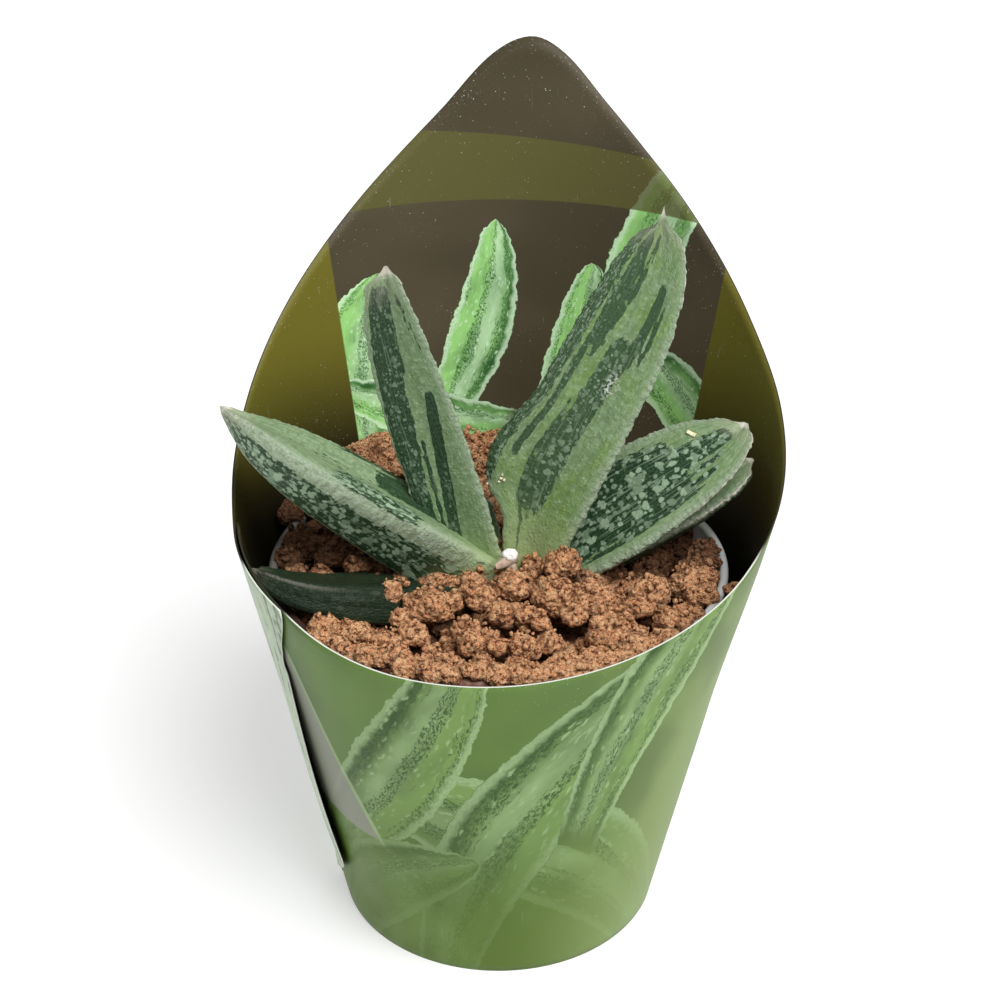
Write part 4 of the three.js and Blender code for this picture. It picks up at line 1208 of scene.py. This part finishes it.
def make_substrate(earth):
    """The bed in the pot, with the lumps that show on it."""
    foot = POT_WALL + BED_GAP
    profile = [(0, foot)]
    profile += [(pot_radius(z) - POT_WALL - BED_GAP, z) for z in (foot, BED_SHOULDER)]
    profile += [(radius, BED_TOP) for radius in range(BED_WIDTH, 0, -2)] + [(0, BED_TOP)]
    bed = turned(profile, BED_STEPS)
    for corner in bed.verts:
        if corner.co.z > BED_TOP - 1:
            level = float(soil_height(corner.co.x, corner.co.y)) - CREVICE_DEPTH - BED_DROP
            corner.co.z = level + 0.9 * noise.noise(corner.co / 2.2)
        corner.co *= MM
    settled, loose = lump_list()
    lumps = settled + loose
    height, even = height_map(lumps)
    new_soil("substrate_bed", bed, earth, even, "substrate")
    heaps = {}
    draw = random.Random(5)
    balls = {detail: ball_mesh(detail) for detail in (FINE_LUMP, COARSE_LUMP, SMALL_LUMP)}
    shapes = {detail: [lump_shape(ball, seed) for seed in range(LUMP_SHAPES)]
              for detail, ball in balls.items()}
    for index, lump in enumerate(lumps):
        ends = {"front": FRONT_ROW, "middle": len(FRONT_LUMPS), "back": len(settled)}
        part = next((part for part, end in ends.items() if index < end), "loose")
        heap = heaps.setdefault(part, bmesh.new())
        make_lump(heap, balls[lump[4]], draw.choice(shapes[lump[4]]), lump, draw)
    for part, heap in heaps.items():
        new_soil("substrate_lumps_" + part, heap, earth, even)
    return height, even


def make_crumbs(height, even, earth):
    """Loose crumbs lying on and between the lumps."""
    draw = random.Random(21)
    heap = bmesh.new()
    ball = ball_mesh(1)
    way = corners_of(ball)
    for _ in range(CRUMBS):
        angle = draw.uniform(0, math.tau)
        out = CRUMB_REACH * math.sqrt(draw.random())
        x, y = out * math.cos(angle), out * math.sin(angle)
        size = 0.28 + 0.75 * draw.random() ** 3
        at = (x, y, on_map(height, x, y) + 0.2 * size)
        axis = Vector((draw.random(), 1, draw.random()))
        turn = np.array(Matrix.Rotation(draw.uniform(0, math.tau), 3, axis))
        knobs = np.array([[draw.uniform(0.6, 1.35)] for _ in way])
        add_ball(heap, ball, (way * knobs * (1.25, 1, 0.8)) @ turn * size + at)
    return new_soil("substrate_crumbs", heap, earth, even)


def earth_finish():
    earth = Finish("crumbly_earth")
    place = earth.place()
    broad = earth.noise(place, 130, 4, 0.6)
    crumb = earth.noise(place, 1050, 4, 0.7)
    grit = earth.noise(place, 2300, 3, 0.75)
    granule = earth.cells(earth.warp(place, 0.0006, 700), 880)
    base = earth.layered(
        earth.mix(broad.rising(0.3, 0.7), SOIL_MEAN, SOIL_LIT),
        (crumb.rising(0.5, 0.57) * 0.8, SOIL_CRUMB),
        (grit.falling(0.4, 0.48) * 0.55, SOIL_DEEP),
        (crumb.falling(0.41, 0.455) * 0.85, SOIL_PIT_AND_SHADE),
        # painted shade in the gaps between the granules
        (granule.rising(0.52, 0.74) * 0.42, SOIL_PIT_AND_SHADE),
        (granule.falling(0.12, 0.3) * 0.35, SOIL_CRUMB),
        # painted shade down between the lumps
        (earth.attribute("deep") * 0.8, SOIL_PIT_AND_SHADE),
        # painted shade under the leaves
        (earth.attribute("shade_under_leaves") * 0.75, SOIL_SHADE),
    )
    normal = earth.bump(crumb * 1.3 + grit * 0.5 - granule * 0.6, 0.0012, 1.0)
    return earth.surface(Base_Color=base, Roughness=1.0, Normal=normal, Specular_IOR_Level=0.15)


# ---- stalk and grain


STUB_FOOT, STUB_TOP = Vector((3.4, -8.2, 79)), Vector((2.6, -11.4, 94.2))
STUB_BOW, STUB_RADIUS, STUB_RIBS = Vector((0.8, -0.6, 0)), 1.15, 9
FLAKE_LOW, FLAKE_HIGH = Vector((-0.6, -13.6, 94.4)), Vector((4.4, -12, 96.2))
FLAKE_ACROSS, FLAKE_UP = Vector((-0.25, 0.35, 0.9)), Vector((0.1, -0.85, 0.3))
GRAIN_RADIUS, GRAIN_STRETCH = 1.72, (1.08, 0.95, 0.9)
HUSK_LENGTH, HUSK_WIDTH, HUSK_DEPTH = 2.3, 0.9, 0.3


def make_stalk(papery):
    stub = bmesh.new()
    bmesh.ops.create_cone(stub, cap_ends=True, segments=28, radius1=1, radius2=1, depth=1)
    lengthwise = [edge for edge in stub.edges
                  if abs(edge.verts[0].co.z - edge.verts[1].co.z) > 0.5]
    bmesh.ops.subdivide_edges(stub, edges=lengthwise, cuts=24, use_grid_fill=True)
    for corner in stub.verts:
        share = corner.co.z + 0.5
        way = Vector((corner.co.x, corner.co.y, 0))
        angle = math.atan2(way.y, way.x)
        uneven = noise.noise(Vector((angle * 2, share * 5, 1)))
        radius = way.length * STUB_RADIUS
        radius *= 1 + 0.1 * math.sin(STUB_RIBS * angle) + 0.12 * uneven
        at = STUB_FOOT.lerp(STUB_TOP, share) + STUB_BOW * 4 * share * (1 - share)
        ragged = 0.5 * noise.noise(way * 1.5) if share > 0.97 else 0
        around = Vector((math.cos(angle), math.sin(angle), 0)) * radius
        corner.co = (at + around + Vector((0, 0, ragged))) * MM
    bmesh.ops.recalc_face_normals(stub, faces=stub.faces)
    new_piece("dry_stalk_stub", stub, [papery], "dry_stalk")
    flake = bmesh.new()
    bmesh.ops.create_grid(flake, x_segments=24, y_segments=10, size=0.5)
    for corner in flake.verts:
        along, across = corner.co.x + 0.5, corner.co.y * 2
        half = 0.95 * math.sin(math.pi * (0.18 + 0.7 * along)) + 0.15
        curl = 0.5 * across * across + 0.25 * noise.noise(Vector((along * 4, across, 0)))
        at = FLAKE_LOW.lerp(FLAKE_HIGH, along) + FLAKE_ACROSS * across * half
        corner.co = (at + FLAKE_UP * (0.35 - curl)) * MM
    bmesh.ops.solidify(flake, geom=flake.faces[:], thickness=0.12 * MM)
    bmesh.ops.recalc_face_normals(flake, faces=flake.faces)
    new_piece("dry_stalk_flake", flake, [papery])


def make_grain(chalk):
    grain = bmesh.new()
    bmesh.ops.create_icosphere(grain, subdivisions=4, radius=1)
    centre = Vector(GRAIN_AT)
    for corner in grain.verts:
        way = corner.co.copy()
        size = 1 + 0.12 * noise.noise(way * 1.6) + 0.05 * noise.noise(way * 5)
        size *= GRAIN_RADIUS
        corner.co = (centre + way * Vector(GRAIN_STRETCH) * size) * MM
    return new_piece("perlite_grain_rough", grain, [chalk], "perlite_grain")


def make_husk(papery):
    """The small papery chip that has fallen on the low right-hand leaf."""
    chip = bmesh.new()
    bmesh.ops.create_cube(chip, size=1)
    bmesh.ops.subdivide_edges(chip, edges=chip.edges, cuts=6, use_grid_fill=True)
    normal = Vector(HUSK_UP).normalized()
    along = Vector(HUSK_ALONG).normalized()
    across = normal.cross(along)
    for corner in chip.verts:
        x, y, z = corner.co
        lift = 0.25 * (2 * x) ** 2 + 0.15 * noise.noise(corner.co * 5)
        at = Vector(HUSK_AT) + along * HUSK_LENGTH * x + across * HUSK_WIDTH * y
        corner.co = (at + normal * (HUSK_DEPTH * z + lift)) * MM
    return new_piece("husk_chip", chip, [papery])


def make_grit(chalk):
    """The few pale grains caught at the foot of the tall leaf."""
    draw = random.Random(3)
    grit = bmesh.new()
    ball = ball_mesh(2)
    shape = corners_of(ball)
    for at in GRIT_AT:
        rough_shape = shape * (1 + 0.4 * np.array([[draw.uniform(-1, 1)] for _ in shape]))
        stretch = (draw.uniform(0.7, 1.3), 0.6, draw.uniform(0.7, 1.3))
        add_ball(grit, ball, rough_shape * stretch * draw.uniform(0.26, 0.42) + at)
    return new_piece("perlite_grit", grit, [chalk])


def two_tone(name, dark, pale, pattern, roughness=0.8, depth=0.0002, strength=0.6):
    """A finish whose colour and relief both follow one pattern."""
    finish = Finish(name)
    share = pattern(finish, finish.place())
    return finish.surface(Base_Color=finish.mix(share, dark, pale), Roughness=roughness,
                          Normal=finish.bump(share, depth, strength))


def ribs(finish, place):
    return finish.noise(finish.stretch(place, 1800, 1800, 200), 1, 3, 0.6)


def rings(finish, place):
    return finish.noise(finish.stretch(place, 200, 200, 900), 1, 3, 0.6)


def pits(finish, place):
    return finish.cells(place, 1800).rising(0.1, 0.5)


# ---- floor, light and camera


FLOOR_HALF, FLOOR_DROP = 2.5, 0.0002  # metres
FLOOR_GREY, FLOOR_GLOW = (0.6, 0.6, 0.6, 1), 0.42
WHITE = (1, 1, 1, 1)
ROOM_LIGHT = 0.46
KEY_LIGHT, KEY_SPREAD, KEY_WAY = 3.1, 38, (-0.55, 0.65, -1.25)
CAMERA_AT = (0.452, -342.37, 281.94)
CAMERA_PITCH, CAMERA_ROLL = 0.47930, 0.0005
SENSOR_WIDTH, LENS_LENGTH = 36, 61.56


def make_stage():
    floor = bmesh.new()
    bmesh.ops.create_grid(floor, x_segments=1, y_segments=1, size=FLOOR_HALF)
    plane = in_scene("floor", mesh_of("floor", floor))
    paper = Finish("floor_paper")
    plane.data.materials.append(paper.surface(
        Base_Color=FLOOR_GREY, Roughness=0.9, Emission_Color=WHITE, Emission_Strength=FLOOR_GLOW))
    plane.location.z = -FLOOR_DROP
    plane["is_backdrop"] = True

    world = bpy.data.worlds.new("soft_room")
    world.use_nodes = True
    sky = world.node_tree.nodes["Background"]
    sky.inputs["Color"].default_value = WHITE
    sky.inputs["Strength"].default_value = ROOM_LIGHT
    bpy.context.scene.world = world
    sun = bpy.data.lights.new("key", "SUN")
    sun.energy = KEY_LIGHT
    sun.angle = math.radians(KEY_SPREAD)
    lamp = in_scene("key", sun)
    lamp.rotation_euler = Vector(KEY_WAY).to_track_quat("-Z", "Y").to_euler()


def make_camera():
    lens = bpy.data.cameras.new("camera")
    lens.sensor_width = SENSOR_WIDTH
    lens.lens = LENS_LENGTH
    lens.clip_start = 0.01
    camera = in_scene("camera", lens)
    camera.location = Vector(CAMERA_AT) * MM
    camera.rotation_euler = (math.pi / 2 - CAMERA_PITCH, CAMERA_ROLL, 0)
    bpy.context.scene.camera = camera


# ---- the whole

skin = leaf_skin()
for leaf_name, leaf_form in LEAVES.items():
    make_leaf(leaf_name, {**USUAL_LEAF, **leaf_form}, skin)
make_sleeve(outside_print(), inside_print(), cut_edge())
make_pot(pot_plastic())
earth = earth_finish()
soil_top, soil_even = make_substrate(earth)
make_crumbs(soil_top, soil_even, earth)
make_stalk(two_tone("dry_sheath", STALK_DARK, STALK_PALE, ribs))
make_husk(two_tone("dry_husk", HUSK_DARK, HUSK_PALE, ribs))
make_grain(two_tone("perlite", CHALK_DULL, CHALK_CLEAN, pits, strength=0.5))
make_grit(two_tone("dusty_perlite", GRIT_DULL, GRIT_CLEAN, pits, strength=0.5))
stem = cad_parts["stem"]
stem.data.materials.clear()
stem.data.materials.append(two_tone("stem_skin", STEM_DARK, STEM_PALE, rings, 0.75, 0.0003))
make_stage()
make_camera()
bpy.context.scene.view_settings.view_transform = "Standard"

boxes = {"cad": CAD_BOX, "visual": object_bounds()}
{name: [list(corner) for corner in box] for name, box in boxes.items()}
